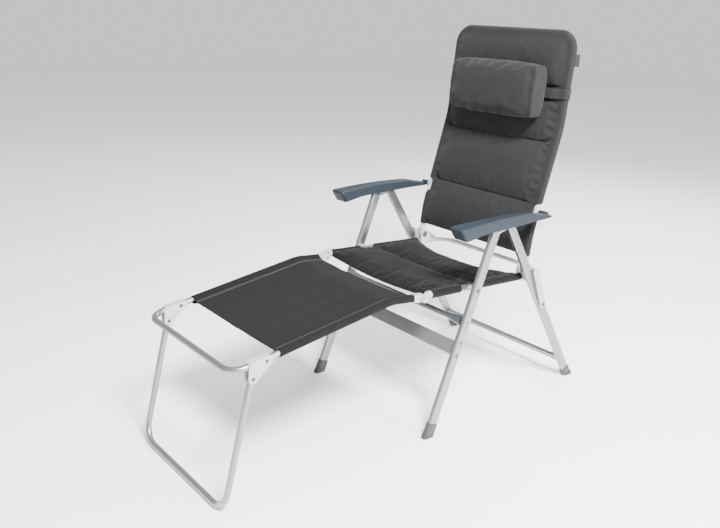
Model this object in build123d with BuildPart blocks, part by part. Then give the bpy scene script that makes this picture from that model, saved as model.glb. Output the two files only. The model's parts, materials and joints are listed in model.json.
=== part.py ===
# Folding camping chair with a clip-on footrest. Millimetres, +Z up.
# The sitter faces -Y, so the footrest is towards -Y and the sitter's left hand is at +X.
# The origin lies on the floor, under the middle of the whole chair.
# Every pivot axis is parallel to X, so a pivot is named by its Y and Z.
import os
from math import atan2, cos, degrees, hypot, radians, sin, tan

from build123d import *

os.makedirs("parts", exist_ok=True)

# Clearances and overruns
running_gap = 0.05
seat_gap = 0.1
side_gap = 0.3
cloth_gap = 0.3
overrun = 2.0

# Front legs: oval tube
leg_x = 280.0
front_lean = 21.6
front_foot_y = -12.5
front_leg_depth = 36.0
front_leg_width = 18.0
front_leg_top_z = 644.0
leg_wall = 1.6

# Rear legs: rectangular tube
rear_lean = 32.0
rear_heel = 22.0
rear_leg_depth = 30.0
rear_leg_width = 15.0
rear_leg_corner = 3.5

# Foot caps
cap_floor = 12.0
cap_wall = 2.4
front_cap_height = 44.0
rear_cap_height = 38.0
cap_rim_height = 7.0
cap_rim_lip = 1.8

# Pivots
leg_pivot_z = 642.0
leg_pivot_behind = 49.648
seat_pivot_z = 445.5
link_pivot_z = 327.0
back_pivot_y, back_pivot_z = 435.5, 453.0
rest_pivot_y, rest_pivot_z = -23.5, 450.5
leg_pivot_y = front_foot_y + leg_pivot_z * tan(radians(front_lean)) + leg_pivot_behind
rear_foot_y = leg_pivot_y + leg_pivot_z * tan(radians(rear_lean))
link_pivot_y = rear_foot_y - link_pivot_z * tan(radians(rear_lean))
seat_pivot_y = front_foot_y + seat_pivot_z * tan(radians(front_lean))

# Pins, bolts and rivets
pin_radius = 6.5
bolt_radius = 4.0
back_rivet_radius = 6.5
rivet_radius = 3.0
head_height = 2.6
head_share = 1.8

# Plates that join the two leg tops inside the armrest
plate_thickness = 2.5
plate_radius = 12.0
plate_rivet_z = 628.0
plate_rivet_y = front_foot_y + plate_rivet_z * tan(radians(front_lean))

# Flat panel and slim bar between the front legs; the bar flares where it meets them
panel_z = 269.0
panel_height = 44.0
panel_thickness = 12.0
panel_corner = 3.0
panel_forward = 8.0
panel_wall = 1.4
panel_screw_spacing = 43.0
bar_z = 350.0
bar_height = 18.0
bar_thickness = 11.0
bar_forward = 12.0
bar_flare = 50.0
bar_flare_height = 31.0

# Oval bar between the rear legs, flared where it meets them
low_bar_z = 74.0
low_bar_height = 25.0
low_bar_thickness = 16.0
low_bar_flare = 35.0
low_bar_flare_height = 36.0

# Seat frame
tube_x = 243.0
tube_radius = 10.0
tube_wall = 1.5
seat_drop_share = 0.0746
seat_tube_front_y = 2.0
seat_tube_rear_y = 440.0
cross_tube_radius = 8.0
cross_tube_y = 517.0
cross_tube_z = 430.0
cross_tube_knee_x = 172.0
cross_tube_end_x = 236.0
cross_tube_end_y = 452.0
cross_tube_end_z = 428.0
cross_tube_bend = 70.0

# Plastic brackets at the rear ends of the seat tubes
bracket_inner_x = 226.0
bracket_outer_x = 260.0
bracket_cheek = 6.4
bracket_boss_x = 268.2
bracket_boss_radius = 15.0
bracket_eye_radius = 17.0
bracket_tail_y, bracket_tail_z = 481.0, 427.5
bracket_tail_radius = 13.0
bracket_nose_y = 431.5
bracket_nose_radius = 13.5
bracket_slot_z = 440.7

# Links from the rear legs to the seat's rear pivot
link_gap = 0.8
link_thickness = 5.0
link_width = 21.0
link_cover_thickness = 3.6
link_cover_width = 26.0
link_cover_seam = 1.2
link_cover_seam_share = 0.22
link_pin_radius = 6.0

# Fittings at the front ends of the seat tubes
fitting_collar = 12.0
fitting_collar_radius = 12.0
fitting_ear_inner_x = 241.4
fitting_ear_outer_x = 252.0
fitting_ear_radius = 11.0
barrel_radius = 6.5
barrel_inner_x = 221.0
barrel_head_radius = 9.0

# Bushes and bolts at the seat's side pivots
bush_radius = 8.0

# Back frame: one bent tube
back_knee_y, back_knee_z = 450.5, 565.0
back_shoulder_y, back_shoulder_z = 554.5, 900.0
back_top_y, back_top_z = 585.0, 1190.5
back_knee_bend = 190.0
back_shoulder_bend = 260.0
back_top_bend = 52.0
back_tube_end = 8.0
boss_drop = 4.0
boss_radius = 8.0
boss_outer_x = 256.0

# Armrests: reaches from the legs' pivot in front, and from the back's boss behind
arm_front_reach = 238.8
arm_chin_reach = 215.3
arm_belly_reach = 141.3
arm_crest_reach = 101.3
arm_fall_reach = 88.2
arm_tail_reach = 23.8
arm_chin_drop = 20.0
arm_low_drop = 11.0
arm_front_rise = 18.0
arm_crest_rise = 23.0
arm_fall_rise = 20.0
arm_tail_top_drop = 5.0
arm_tail_low_drop = 11.0
arm_front_inner_x, arm_front_outer_x = 250.0, 311.0
arm_mid_inner_x, arm_mid_outer_x = 262.0, 307.5
arm_rear_inner_x, arm_rear_outer_x = 266.5, 303.0
arm_tail_inner_x, arm_tail_outer_x = 271.0, 292.0
arm_roof = 3.6
arm_wall = 3.0
arm_top_round = 7.0
arm_end_round = 9.0
arm_rim_band = 1.0
arm_cavity_front_reach = 209.3
arm_cavity_rear_reach = 160.7
bush_inner_x = 256.4
arm_bush_radius = 9.0
arm_bush_depth = 15.0
saddle_inner_x = 292.2
saddle_width = 9.0
saddle_length = 26.0
saddle_top = 8.4
saddle_bottom = 9.0
saddle_corner = 2.5
rack_travel = 100.0
rack_pitch = 16.0
rack_end = 22.0
tooth_height = 3.6
rack_height = 6.4

# Footrest frame and its folding leg: round tube
rest_x = 232.0
rest_radius = 9.0
rest_wall = 1.4
rest_start_y, rest_start_z = -37.0, 454.0
rest_knee_y, rest_knee_z = -140.0, 466.5
rest_front_y, rest_front_z = -667.0, 397.0
rest_knee_bend = 150.0
rest_corner_bend = 46.0
hook_inner_x = 223.0
hook_outer_x = 241.0
hook_ring = 5.6
hook_mouth = 9.0
hook_socket = 20.0
hook_wall = 2.6
leg_top_y, leg_top_z = -611.5, 371.0
leg_top_end = 11.0
leg_corner_bend = 56.0
leg_front_reach = 714.5

# Gusset brackets that carry the footrest's leg
gusset_wall = 2.0
gusset_side_gap = 0.4
gusset_rear_y = -561.0
gusset_front_y = -612.0
gusset_foot_radius = 14.0
gusset_rivet_y = -570.0

# Cloth parts
pocket_wall = 2.4
seat_cloth_front_y = 3.6
seat_cloth_rear_y = 417.0
seat_cloth_seam_y = 204.0
seat_rear_scoop = 38.0
seat_front_scoop = 5.0
seat_sag = 13.0
seat_crown = 13.5
seat_edge = 5.0
seat_notch_length = 52.0
seat_notch_depth = 27.0
back_cloth_low_z = 494.0
back_channel_low_z = 663.0
back_channel_mid_z = 855.0
back_channel_high_z = 1022.0
back_front_crown = 21.0
back_channel_crown = 9.0
back_edge = 4.0
back_corner = 60.0
back_notch_low_z = 616.0
back_notch_high_z = 660.0
back_notch_depth = 17.0
rest_cloth_rear_y = -58.5
rest_cloth_front_y = -528.0
rest_cloth_thickness = 3.0
rest_cloth_sag = 9.0
rest_pocket_wall = 2.2
pillow_half_width = 181.0
pillow_low_z = 925.0
pillow_high_z = 1100.0
pillow_depth = 70.0
pillow_round = 18.0
pillow_end_share = 0.9
strap_low_z = 992.0
strap_height = 32.0
strap_thickness = 1.5
strap_ease = 1.3
pillow_ease = 2.0
tag_z = 1094.0
tag_height = 38.0
tag_reach = 17.0
tag_thickness = 1.2


def side_plane(x):
    """Plane across X, whose own x and y are the chair's Y and Z."""
    return Plane(origin=(x, 0, 0), x_dir=(0, 1, 0), z_dir=(1, 0, 0))


def leaning_plane(y, z, lean, x=leg_x):
    """Plane square to a tube that leans back by the angle, in degrees."""
    angle = radians(lean)
    return Plane(origin=(x, y, z), x_dir=(1, 0, 0), z_dir=(0, sin(angle), cos(angle)))


def disc(x, y, z, radius):
    """Round face at x, facing +X."""
    with BuildSketch(side_plane(x)) as face:
        with Locations((y, z)):
            Circle(radius)
    return face.sketch


def cross_pin(x_start, x_end, y, z, radius, mode=Mode.ADD):
    """Round bar along X, or a hole of that size."""
    extrude(disc(x_start, y, z, radius), amount=x_end - x_start, mode=mode)


def domed_head(x, y, z, radius, outward):
    """Low domed head of a rivet or bolt, which stands on the face at x."""
    head = radius * head_share
    dome = (head * head + head_height * head_height) / (2 * head_height)
    flat = Plane(origin=(x, y, z), z_dir=(outward, 0, 0))
    with BuildPart(mode=Mode.PRIVATE) as cap:
        with BuildSketch(flat):
            Circle(head)
        extrude(amount=head_height)
        with Locations(flat.offset(head_height - dome)):
            Sphere(dome, mode=Mode.INTERSECT)
    add(cap.part)


def slot_between(x, start, end, width):
    """Long round-ended face at x from one point (y, z) to another."""
    run = hypot(end[0] - start[0], end[1] - start[1])
    turn = degrees(atan2(end[1] - start[1], end[0] - start[0]))
    with BuildSketch(side_plane(x)) as face:
        with Locations(((start[0] + end[0]) / 2, (start[1] + end[1]) / 2)):
            SlotCenterToCenter(run, width, rotation=turn)
    return face.sketch


def save(piece, name):
    piece.label = name
    export_step(piece, f"parts/{name}.step")


def save_pair(left, name):
    """Writes the left piece and its mirror image."""
    save(left.part, name + "_left")
    with BuildPart() as right:
        mirror(left.part, about=Plane.YZ)
    save(right.part, name + "_right")


def save_both(left, name):
    """Writes the left piece and its mirror image as one group of separate solids."""
    with BuildPart() as pair:
        add(left.part)
        mirror(left.part, about=Plane.YZ)
    save(pair.part, name)


def front_line_y(z):
    return front_foot_y + z * tan(radians(front_lean))


def rear_line_y(z):
    return rear_foot_y - z * tan(radians(rear_lean))


def seat_line_z(y):
    """Height of the seat tubes' centre line, which drops towards the back."""
    return seat_pivot_z - seat_drop_share * (y - seat_pivot_y)


# Front legs
front_inner_x = leg_x - front_leg_width / 2
front_outer_x = leg_x + front_leg_width / 2
with BuildPart() as front_leg:
    foot = leaning_plane(front_foot_y, 0, front_lean).offset(cap_floor)
    with BuildSketch(foot):
        SlotOverall(front_leg_depth, front_leg_width, rotation=90)
        SlotOverall(front_leg_depth - 2 * leg_wall, front_leg_width - 2 * leg_wall,
                    rotation=90, mode=Mode.SUBTRACT)
    extrude(amount=front_leg_top_z / cos(radians(front_lean)) - cap_floor)
    cross_pin(front_inner_x - overrun, front_outer_x + overrun, seat_pivot_y, seat_pivot_z,
              bolt_radius + running_gap, Mode.SUBTRACT)
    cross_pin(front_inner_x - overrun, front_outer_x + overrun, plate_rivet_y, plate_rivet_z,
              bolt_radius + running_gap, Mode.SUBTRACT)
    screw_step = panel_screw_spacing / 2 * cos(radians(front_lean))
    for screw_z in (panel_z - screw_step, panel_z + screw_step):
        cross_pin(front_inner_x - overrun, front_outer_x + overrun, front_line_y(screw_z), screw_z,
                  rivet_radius + running_gap, Mode.SUBTRACT)
    cross_pin(front_inner_x - overrun, front_outer_x + overrun, front_line_y(bar_z), bar_z,
              rivet_radius + running_gap, Mode.SUBTRACT)
save_pair(front_leg, "front_leg")

# Foot caps: a socket with a flared rim, cut level with the floor
with BuildPart() as front_cap:
    foot = leaning_plane(front_foot_y, 0, front_lean)
    with BuildSketch(foot.offset(-front_leg_depth)):
        SlotOverall(front_leg_depth + 2 * cap_wall, front_leg_width + 2 * cap_wall, rotation=90)
    extrude(amount=front_leg_depth + front_cap_height)
    with BuildSketch(foot.offset(-front_leg_depth)):
        SlotOverall(front_leg_depth + 2 * (cap_wall + cap_rim_lip),
                    front_leg_width + 2 * (cap_wall + cap_rim_lip), rotation=90)
    extrude(amount=front_leg_depth + cap_rim_height)
    with BuildSketch(foot.offset(cap_floor)):
        SlotOverall(front_leg_depth + 2 * seat_gap, front_leg_width + 2 * seat_gap, rotation=90)
    extrude(amount=front_cap_height, mode=Mode.SUBTRACT)
    split(bisect_by=Plane.XY, keep=Keep.TOP)
save_pair(front_cap, "front_foot_cap")

with BuildPart() as rear_cap:
    foot = leaning_plane(rear_foot_y, 0, -rear_lean)
    cap_depth = 2 * rear_heel * cos(radians(rear_lean))
    with BuildSketch(foot.offset(-rear_leg_depth)):
        RectangleRounded(rear_leg_width + 2 * cap_wall, rear_leg_depth + 2 * cap_wall,
                         rear_leg_corner + cap_wall)
    extrude(amount=rear_leg_depth + rear_cap_height)
    with BuildSketch(foot.offset(-rear_leg_depth)):
        RectangleRounded(rear_leg_width + 2 * (cap_wall + cap_rim_lip), cap_depth,
                         rear_leg_corner + cap_wall)
    extrude(amount=rear_leg_depth + cap_rim_height)
    with BuildSketch(foot.offset(cap_floor)):
        RectangleRounded(rear_leg_width + 2 * seat_gap, rear_leg_depth + 2 * seat_gap,
                         rear_leg_corner + seat_gap)
    extrude(amount=rear_cap_height, mode=Mode.SUBTRACT)
    split(bisect_by=Plane.XY, keep=Keep.TOP)
save_pair(rear_cap, "rear_foot_cap")

# Flat panel between the front legs
panel_length = 2 * (front_inner_x - seat_gap)
with BuildPart() as front_panel:
    middle = leaning_plane(front_line_y(panel_z), panel_z, front_lean, 0)
    face = Plane(origin=middle.origin - middle.y_dir * panel_forward, x_dir=middle.y_dir,
                 z_dir=(1, 0, 0)).offset(-panel_length / 2)
    with BuildSketch(face):
        RectangleRounded(panel_thickness, panel_height, panel_corner)
        RectangleRounded(panel_thickness - 2 * panel_wall, panel_height - 2 * panel_wall,
                         panel_corner - panel_wall, mode=Mode.SUBTRACT)
    extrude(amount=panel_length)
save(front_panel.part, "front_cross_panel")

# Screws that hold the panel, through each front leg
with BuildPart() as panel_screws:
    for screw_z in (panel_z - screw_step, panel_z + screw_step):
        screw_y = front_line_y(screw_z)
        cross_pin(front_inner_x, front_outer_x, screw_y, screw_z, rivet_radius)
        domed_head(front_outer_x, screw_y, screw_z, rivet_radius, 1)
save_both(panel_screws, "panel_screws")

# Slim bar between the front legs
def flared_bar(face, half_length, height, thickness, flare, flare_height, wall):
    """Hollow oval bar across the face's normal, taller over a stretch at each end."""
    straight = half_length - flare
    with BuildPart(mode=Mode.PRIVATE) as bar:
        with BuildSketch(face.offset(-straight)):
            SlotOverall(height, thickness, rotation=90)
        extrude(amount=2 * straight)
        for side in (-1, 1):
            with BuildSketch(face.offset(side * straight)):
                SlotOverall(height, thickness, rotation=90)
            with BuildSketch(face.offset(side * half_length)):
                SlotOverall(flare_height, thickness, rotation=90)
            loft()
        with BuildSketch(face.offset(-half_length - overrun)):
            SlotOverall(height - 2 * wall, thickness - 2 * wall, rotation=90)
        extrude(amount=2 * (half_length + overrun), mode=Mode.SUBTRACT)
    return bar.part


with BuildPart() as front_bar:
    middle = leaning_plane(front_line_y(bar_z), bar_z, front_lean, 0)
    face = Plane(origin=middle.origin - middle.y_dir * bar_forward, x_dir=middle.y_dir, z_dir=(1, 0, 0))
    add(flared_bar(face, panel_length / 2, bar_height, bar_thickness, bar_flare, bar_flare_height,
                   panel_wall))
save(front_bar.part, "front_cross_bar")

# Plates that carry the rear legs' pivot pins, one on each side of each front leg
plate_inner_x = front_inner_x - side_gap - plate_thickness
plate_outer_x = front_outer_x + side_gap
with BuildPart() as hinge_plates:
    for plate_x in (plate_inner_x, plate_outer_x):
        extrude(slot_between(plate_x, (plate_rivet_y, plate_rivet_z), (leg_pivot_y, leg_pivot_z),
                             2 * plate_radius), amount=plate_thickness)
        cross_pin(plate_x - overrun, plate_x + plate_thickness + overrun, plate_rivet_y,
                  plate_rivet_z, bolt_radius + running_gap, Mode.SUBTRACT)
        cross_pin(plate_x - overrun, plate_x + plate_thickness + overrun, leg_pivot_y, leg_pivot_z,
                  pin_radius + running_gap, Mode.SUBTRACT)
save_pair(hinge_plates, "leg_hinge_plates")

with BuildPart() as plate_rivets:
    cross_pin(plate_inner_x, plate_outer_x + plate_thickness, plate_rivet_y, plate_rivet_z, bolt_radius)
    domed_head(plate_outer_x + plate_thickness, plate_rivet_y, plate_rivet_z, bolt_radius, 1)
    domed_head(plate_inner_x, plate_rivet_y, plate_rivet_z, bolt_radius, -1)
save_both(plate_rivets, "hinge_plate_rivets")

# Bolts and spacer bushes at the seat's side pivots
bolt_inner_x = tube_x - tube_radius
with BuildPart() as seat_bolts:
    cross_pin(bolt_inner_x, front_outer_x, seat_pivot_y, seat_pivot_z, bolt_radius)
    domed_head(front_outer_x, seat_pivot_y, seat_pivot_z, bolt_radius, 1)
    domed_head(bolt_inner_x, seat_pivot_y, seat_pivot_z, bolt_radius, -1)
save_both(seat_bolts, "seat_pivot_bolts")

with BuildPart() as seat_bushes:
    bush_start_x = tube_x + tube_radius + side_gap
    cross_pin(bush_start_x, front_inner_x - running_gap, seat_pivot_y, seat_pivot_z, bush_radius)
    cross_pin(bush_start_x - overrun, front_inner_x + overrun, seat_pivot_y, seat_pivot_z,
              bolt_radius + running_gap, Mode.SUBTRACT)
save_both(seat_bushes, "seat_pivot_bushes")

# Rear legs, with a rounded end round the upper pivot
rear_inner_x = leg_x - rear_leg_width / 2
rear_outer_x = leg_x + rear_leg_width / 2
with BuildPart() as rear_leg:
    foot = leaning_plane(rear_foot_y, 0, -rear_lean).offset(cap_floor)
    rear_run = leg_pivot_z / cos(radians(rear_lean)) - cap_floor
    with BuildSketch(foot):
        RectangleRounded(rear_leg_width, rear_leg_depth, rear_leg_corner)
    extrude(amount=rear_run)
    cross_pin(rear_inner_x, rear_outer_x, leg_pivot_y, leg_pivot_z, rear_leg_depth / 2)
    with BuildSketch(foot):
        RectangleRounded(rear_leg_width - 2 * leg_wall, rear_leg_depth - 2 * leg_wall,
                         rear_leg_corner - leg_wall)
    extrude(amount=rear_run - rear_leg_depth, mode=Mode.SUBTRACT)
    cross_pin(rear_inner_x - overrun, rear_outer_x + overrun, leg_pivot_y, leg_pivot_z,
              pin_radius + running_gap, Mode.SUBTRACT)
    cross_pin(rear_inner_x - overrun, rear_outer_x + overrun, link_pivot_y, link_pivot_z,
              bolt_radius + running_gap, Mode.SUBTRACT)
save_pair(rear_leg, "rear_leg")

# Bar between the rear legs
with BuildPart() as low_bar:
    middle = leaning_plane(rear_line_y(low_bar_z), low_bar_z, -rear_lean, 0)
    face = Plane(origin=middle.origin, x_dir=middle.y_dir, z_dir=(1, 0, 0))
    add(flared_bar(face, rear_inner_x - seat_gap, low_bar_height, low_bar_thickness, low_bar_flare,
                   low_bar_flare_height, leg_wall))
save(low_bar.part, "rear_cross_bar")

# Links: a flat arm with the pin of the seat's rear pivot, and its plastic cover
link_x = rear_outer_x + link_gap
cover_x = link_x + link_thickness
link_low = (link_pivot_y, link_pivot_z)
link_high = (back_pivot_y, back_pivot_z)
with BuildPart() as link_rivets:
    cross_pin(rear_inner_x, cover_x + link_cover_thickness, *link_low, bolt_radius)
    domed_head(cover_x + link_cover_thickness, *link_low, bolt_radius, 1)
    domed_head(rear_inner_x, *link_low, bolt_radius, -1)
save_both(link_rivets, "link_rivets")

with BuildPart() as link_arm:
    extrude(slot_between(link_x, link_low, link_high, link_width), amount=link_thickness)
    cross_pin(bracket_boss_x + side_gap, link_x, *link_high, link_pin_radius)
    cross_pin(link_x - overrun, cover_x + overrun, *link_low, bolt_radius + running_gap, Mode.SUBTRACT)
save_pair(link_arm, "link_arm")

with BuildPart() as link_cover:
    extrude(slot_between(cover_x, link_low, link_high, link_cover_width), amount=link_cover_thickness)
    rim = link_cover.edges().group_by(Axis.X)[-1]
    fillet(rim, radius=link_cover_thickness / 2)
    run = (link_high[0] - link_low[0], link_high[1] - link_low[1])
    seam_at = (link_low[0] + run[0] * link_cover_seam_share, link_low[1] + run[1] * link_cover_seam_share)
    seam_turn = degrees(atan2(run[1], run[0])) + 90
    with BuildSketch(side_plane(cover_x + link_cover_thickness - link_cover_seam / 2)):
        with Locations(seam_at):
            Rectangle(2 * link_cover_width, link_cover_seam, rotation=seam_turn)
    extrude(amount=link_cover_thickness, mode=Mode.SUBTRACT)
    cross_pin(cover_x - overrun, cover_x + link_cover_thickness + overrun, *link_low,
              bolt_radius + running_gap, Mode.SUBTRACT)
save_pair(link_cover, "link_cover")

# Seat side tubes
seat_slope = degrees(atan2(seat_drop_share, 1))
seat_run = (seat_tube_rear_y - seat_tube_front_y) / cos(radians(seat_slope))


def seat_tube_plane(y):
    """Plane square to the left seat tube, facing the back of the chair."""
    return Plane(origin=(tube_x, y, seat_line_z(y)), x_dir=(1, 0, 0),
                 z_dir=(0, 1, -seat_drop_share))


with BuildPart() as seat_tube:
    with BuildSketch(seat_tube_plane(seat_tube_front_y).offset(-fitting_collar / 2 + running_gap)):
        Circle(tube_radius)
        Circle(tube_radius - tube_wall, mode=Mode.SUBTRACT)
    extrude(amount=seat_run + fitting_collar / 2)
    cross_pin(tube_x - 2 * tube_radius, tube_x + 2 * tube_radius, seat_pivot_y, seat_pivot_z,
              bolt_radius + running_gap, Mode.SUBTRACT)
save_pair(seat_tube, "seat_tube")

# Tube that joins the rear ends of the seat, bowed back to clear the sitter
cross_points = [
    (cross_tube_end_x, cross_tube_end_y, cross_tube_end_z),
    (cross_tube_knee_x, cross_tube_y, cross_tube_z),
    (-cross_tube_knee_x, cross_tube_y, cross_tube_z),
    (-cross_tube_end_x, cross_tube_end_y, cross_tube_end_z),
]
with BuildPart() as cross_tube:
    with BuildLine() as cross_path:
        FilletPolyline(*cross_points, radius=[cross_tube_bend, cross_tube_bend])
    with BuildSketch(cross_path.line ^ 0):
        Circle(cross_tube_radius)
        Circle(cross_tube_radius - tube_wall, mode=Mode.SUBTRACT)
    sweep()
save(cross_tube.part, "seat_cross_tube")

with BuildPart(mode=Mode.PRIVATE) as cross_bore:
    with BuildSketch(cross_path.line ^ 0):
        Circle(cross_tube_radius + running_gap)
    sweep(path=cross_path.line)

# Rear brackets: clevis for the back frame, sockets for the seat and cross tubes
with BuildPart() as rear_bracket:
    with BuildSketch(side_plane(bracket_inner_x)):
        with BuildLine():
            CenterArc((back_pivot_y, back_pivot_z), bracket_eye_radius, 0, 360)
            CenterArc((bracket_tail_y, bracket_tail_z), bracket_tail_radius, 0, 360)
            CenterArc((bracket_nose_y, seat_line_z(bracket_nose_y)), bracket_nose_radius, 0, 360)
        make_hull()
    extrude(amount=bracket_outer_x - bracket_inner_x)
    cross_pin(bracket_outer_x, bracket_boss_x, back_pivot_y, back_pivot_z, bracket_boss_radius)
    slot_inner_x = bracket_inner_x + bracket_cheek
    slot_outer_x = 2 * tube_x - slot_inner_x
    with BuildSketch(side_plane(slot_inner_x)):
        with Locations((back_pivot_y, bracket_slot_z)):
            Rectangle(8 * bracket_eye_radius, 4 * bracket_eye_radius, align=(Align.CENTER, Align.MIN))
    extrude(amount=slot_outer_x - slot_inner_x, mode=Mode.SUBTRACT)
    cross_pin(slot_inner_x, slot_outer_x, back_pivot_y, back_pivot_z,
              hypot(back_tube_end, tube_radius) + side_gap, Mode.SUBTRACT)
    with BuildSketch(seat_tube_plane(seat_tube_front_y)):
        Circle(tube_radius + running_gap)
    extrude(amount=seat_run + seat_gap, mode=Mode.SUBTRACT)
    add(cross_bore.part, mode=Mode.SUBTRACT)
    cross_pin(bracket_inner_x - overrun, bracket_boss_x + overrun, back_pivot_y, back_pivot_z,
              back_rivet_radius + running_gap, Mode.SUBTRACT)
save_pair(rear_bracket, "seat_rear_bracket")

# Rivets that the back frame turns on
with BuildPart() as back_rivets:
    cross_pin(bracket_inner_x, bracket_boss_x, back_pivot_y, back_pivot_z, back_rivet_radius)
    domed_head(bracket_inner_x, back_pivot_y, back_pivot_z, back_rivet_radius, -1)
save_both(back_rivets, "back_pivot_rivets")

# Front fittings: a collar on the seat tube, an ear, and the barrel that the footrest hangs on
collar_y = seat_tube_front_y - fitting_collar
with BuildPart() as front_fitting:
    with BuildSketch(seat_tube_plane(seat_tube_front_y).offset(-fitting_collar)):
        Circle(fitting_collar_radius)
    extrude(amount=fitting_collar)
    extrude(slot_between(fitting_ear_inner_x, (rest_pivot_y, rest_pivot_z),
                         (collar_y, seat_line_z(collar_y)), 2 * fitting_ear_radius),
            amount=fitting_ear_outer_x - fitting_ear_inner_x)
    with BuildSketch(seat_tube_plane(seat_tube_front_y).offset(-fitting_collar / 2)):
        Circle(tube_radius + running_gap)
    extrude(amount=seat_run, mode=Mode.SUBTRACT)
    cross_pin(fitting_ear_inner_x - overrun, fitting_ear_outer_x + overrun, rest_pivot_y,
              rest_pivot_z, barrel_radius + running_gap, Mode.SUBTRACT)
save_pair(front_fitting, "seat_front_fitting")

# Pins that the footrest hangs on
with BuildPart() as rest_pins:
    cross_pin(barrel_inner_x, fitting_ear_outer_x, rest_pivot_y, rest_pivot_z, barrel_radius)
    cross_pin(fitting_ear_outer_x + seat_gap, fitting_ear_outer_x + seat_gap + head_height,
              rest_pivot_y, rest_pivot_z, barrel_head_radius)
    cross_pin(fitting_ear_outer_x, fitting_ear_outer_x + seat_gap, rest_pivot_y, rest_pivot_z,
              barrel_radius)
save_both(rest_pins, "footrest_pins")

# Back frame: one tube from the left pivot over the top to the right pivot
lower_run = hypot(back_knee_y - back_pivot_y, back_knee_z - back_pivot_z)
end_y = back_pivot_y - (back_knee_y - back_pivot_y) * back_tube_end / lower_run
end_z = back_pivot_z - (back_knee_z - back_pivot_z) * back_tube_end / lower_run
left_side = [
    (tube_x, end_y, end_z),
    (tube_x, back_knee_y, back_knee_z),
    (tube_x, back_shoulder_y, back_shoulder_z),
    (tube_x, back_top_y, back_top_z),
]
right_side = [(-x, y, z) for x, y, z in reversed(left_side)]
back_bends = [back_knee_bend, back_shoulder_bend, back_top_bend]
with BuildLine(mode=Mode.PRIVATE) as back_path:
    FilletPolyline(*left_side, *right_side, radius=back_bends + back_bends[::-1])
with BuildPart() as back_frame:
    with BuildSketch(back_path.line ^ 0):
        Circle(tube_radius)
        Circle(tube_radius - tube_wall, mode=Mode.SUBTRACT)
    sweep(path=back_path.line)
    for side in (-1, 1):
        cross_pin(side * tube_x - 2 * tube_radius, side * tube_x + 2 * tube_radius, back_pivot_y,
                  back_pivot_z, back_rivet_radius + running_gap, Mode.SUBTRACT)
save(back_frame.part, "back_frame")

# Bosses on the back frame that the armrests turn on, a little below the legs' pivot
boss_z = leg_pivot_z - boss_drop
boss_y = back_knee_y + (boss_z - back_knee_z) * (back_shoulder_y - back_knee_y) / (back_shoulder_z - back_knee_z)
with BuildPart() as arm_bosses:
    cross_pin(tube_x, boss_outer_x, boss_y, boss_z, boss_radius)
    with BuildPart(mode=Mode.PRIVATE) as tube_cut:
        with BuildSketch(back_path.line ^ 0):
            Circle(tube_radius + running_gap)
        sweep(path=back_path.line)
    add(tube_cut.part, mode=Mode.SUBTRACT)
save_both(arm_bosses, "armrest_bosses")

# Main pivot pins, which also carry the armrests' saddles
saddle_outer_x = saddle_inner_x + saddle_width
with BuildPart() as main_pins:
    cross_pin(plate_inner_x, saddle_outer_x + seat_gap, leg_pivot_y, leg_pivot_z, pin_radius)
save_both(main_pins, "leg_pivot_pins")

# Saddles that carry the armrests
with BuildPart() as saddles:
    with BuildSketch(side_plane(saddle_inner_x)):
        with Locations((leg_pivot_y, leg_pivot_z + (saddle_top - saddle_bottom) / 2)):
            RectangleRounded(saddle_length, saddle_top + saddle_bottom, saddle_corner)
    extrude(amount=saddle_width)
    cross_pin(saddle_inner_x - overrun, saddle_outer_x + overrun, leg_pivot_y, leg_pivot_z,
              pin_radius + running_gap, Mode.SUBTRACT)
save_pair(saddles, "armrest_saddle")

# Toothed racks above the saddles
rack_low = leg_pivot_z + saddle_top + side_gap
rack_rear = leg_pivot_y + rack_end
rack_front = leg_pivot_y - rack_travel
with BuildPart() as racks:
    with BuildSketch(side_plane(saddle_inner_x)):
        with Locations(((rack_front + rack_rear) / 2, rack_low)):
            Rectangle(rack_rear - rack_front, rack_height, align=(Align.CENTER, Align.MIN))
        tooth_count = int((rack_rear - rack_front) / rack_pitch)
        with Locations((rack_front + rack_pitch / 2, rack_low)):
            with GridLocations(rack_pitch, 0, tooth_count, 1, align=(Align.MIN, Align.CENTER)):
                RegularPolygon(tooth_height, 3, rotation=90, mode=Mode.SUBTRACT)
    extrude(amount=saddle_width)
save_pair(racks, "armrest_rack")

# Armrest shells: hollow below, open where the legs come in
arm_front_y = leg_pivot_y - arm_front_reach
arm_chin_y = leg_pivot_y - arm_chin_reach
arm_belly_y = leg_pivot_y - arm_belly_reach
arm_crest_y = leg_pivot_y - arm_crest_reach
arm_fall_y = boss_y - arm_fall_reach
arm_rear_y = boss_y + arm_tail_reach
arm_chin_z = leg_pivot_z - arm_chin_drop
arm_low_z = leg_pivot_z - arm_low_drop
arm_front_top_z = leg_pivot_z + arm_front_rise
arm_crest_z = leg_pivot_z + arm_crest_rise
arm_fall_z = boss_z + arm_fall_rise
arm_tail_top_z = boss_z - arm_tail_top_drop
arm_tail_low_z = boss_z - arm_tail_low_drop


def arm_outline(inset):
    """Plan of the armrest, drawn in on both long sides by the inset."""
    with BuildSketch() as plan:
        with BuildLine():
            Polyline((arm_front_inner_x + inset, arm_front_y - overrun),
                     (arm_mid_inner_x + inset, arm_crest_y),
                     (arm_rear_inner_x + inset, arm_fall_y), (arm_tail_inner_x + inset, arm_rear_y),
                     (arm_tail_outer_x - inset, arm_rear_y), (arm_rear_outer_x - inset, arm_fall_y),
                     (arm_mid_outer_x - inset, arm_crest_y),
                     (arm_front_outer_x - inset, arm_front_y - overrun), close=True)
        make_face()
    return plan.sketch


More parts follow.
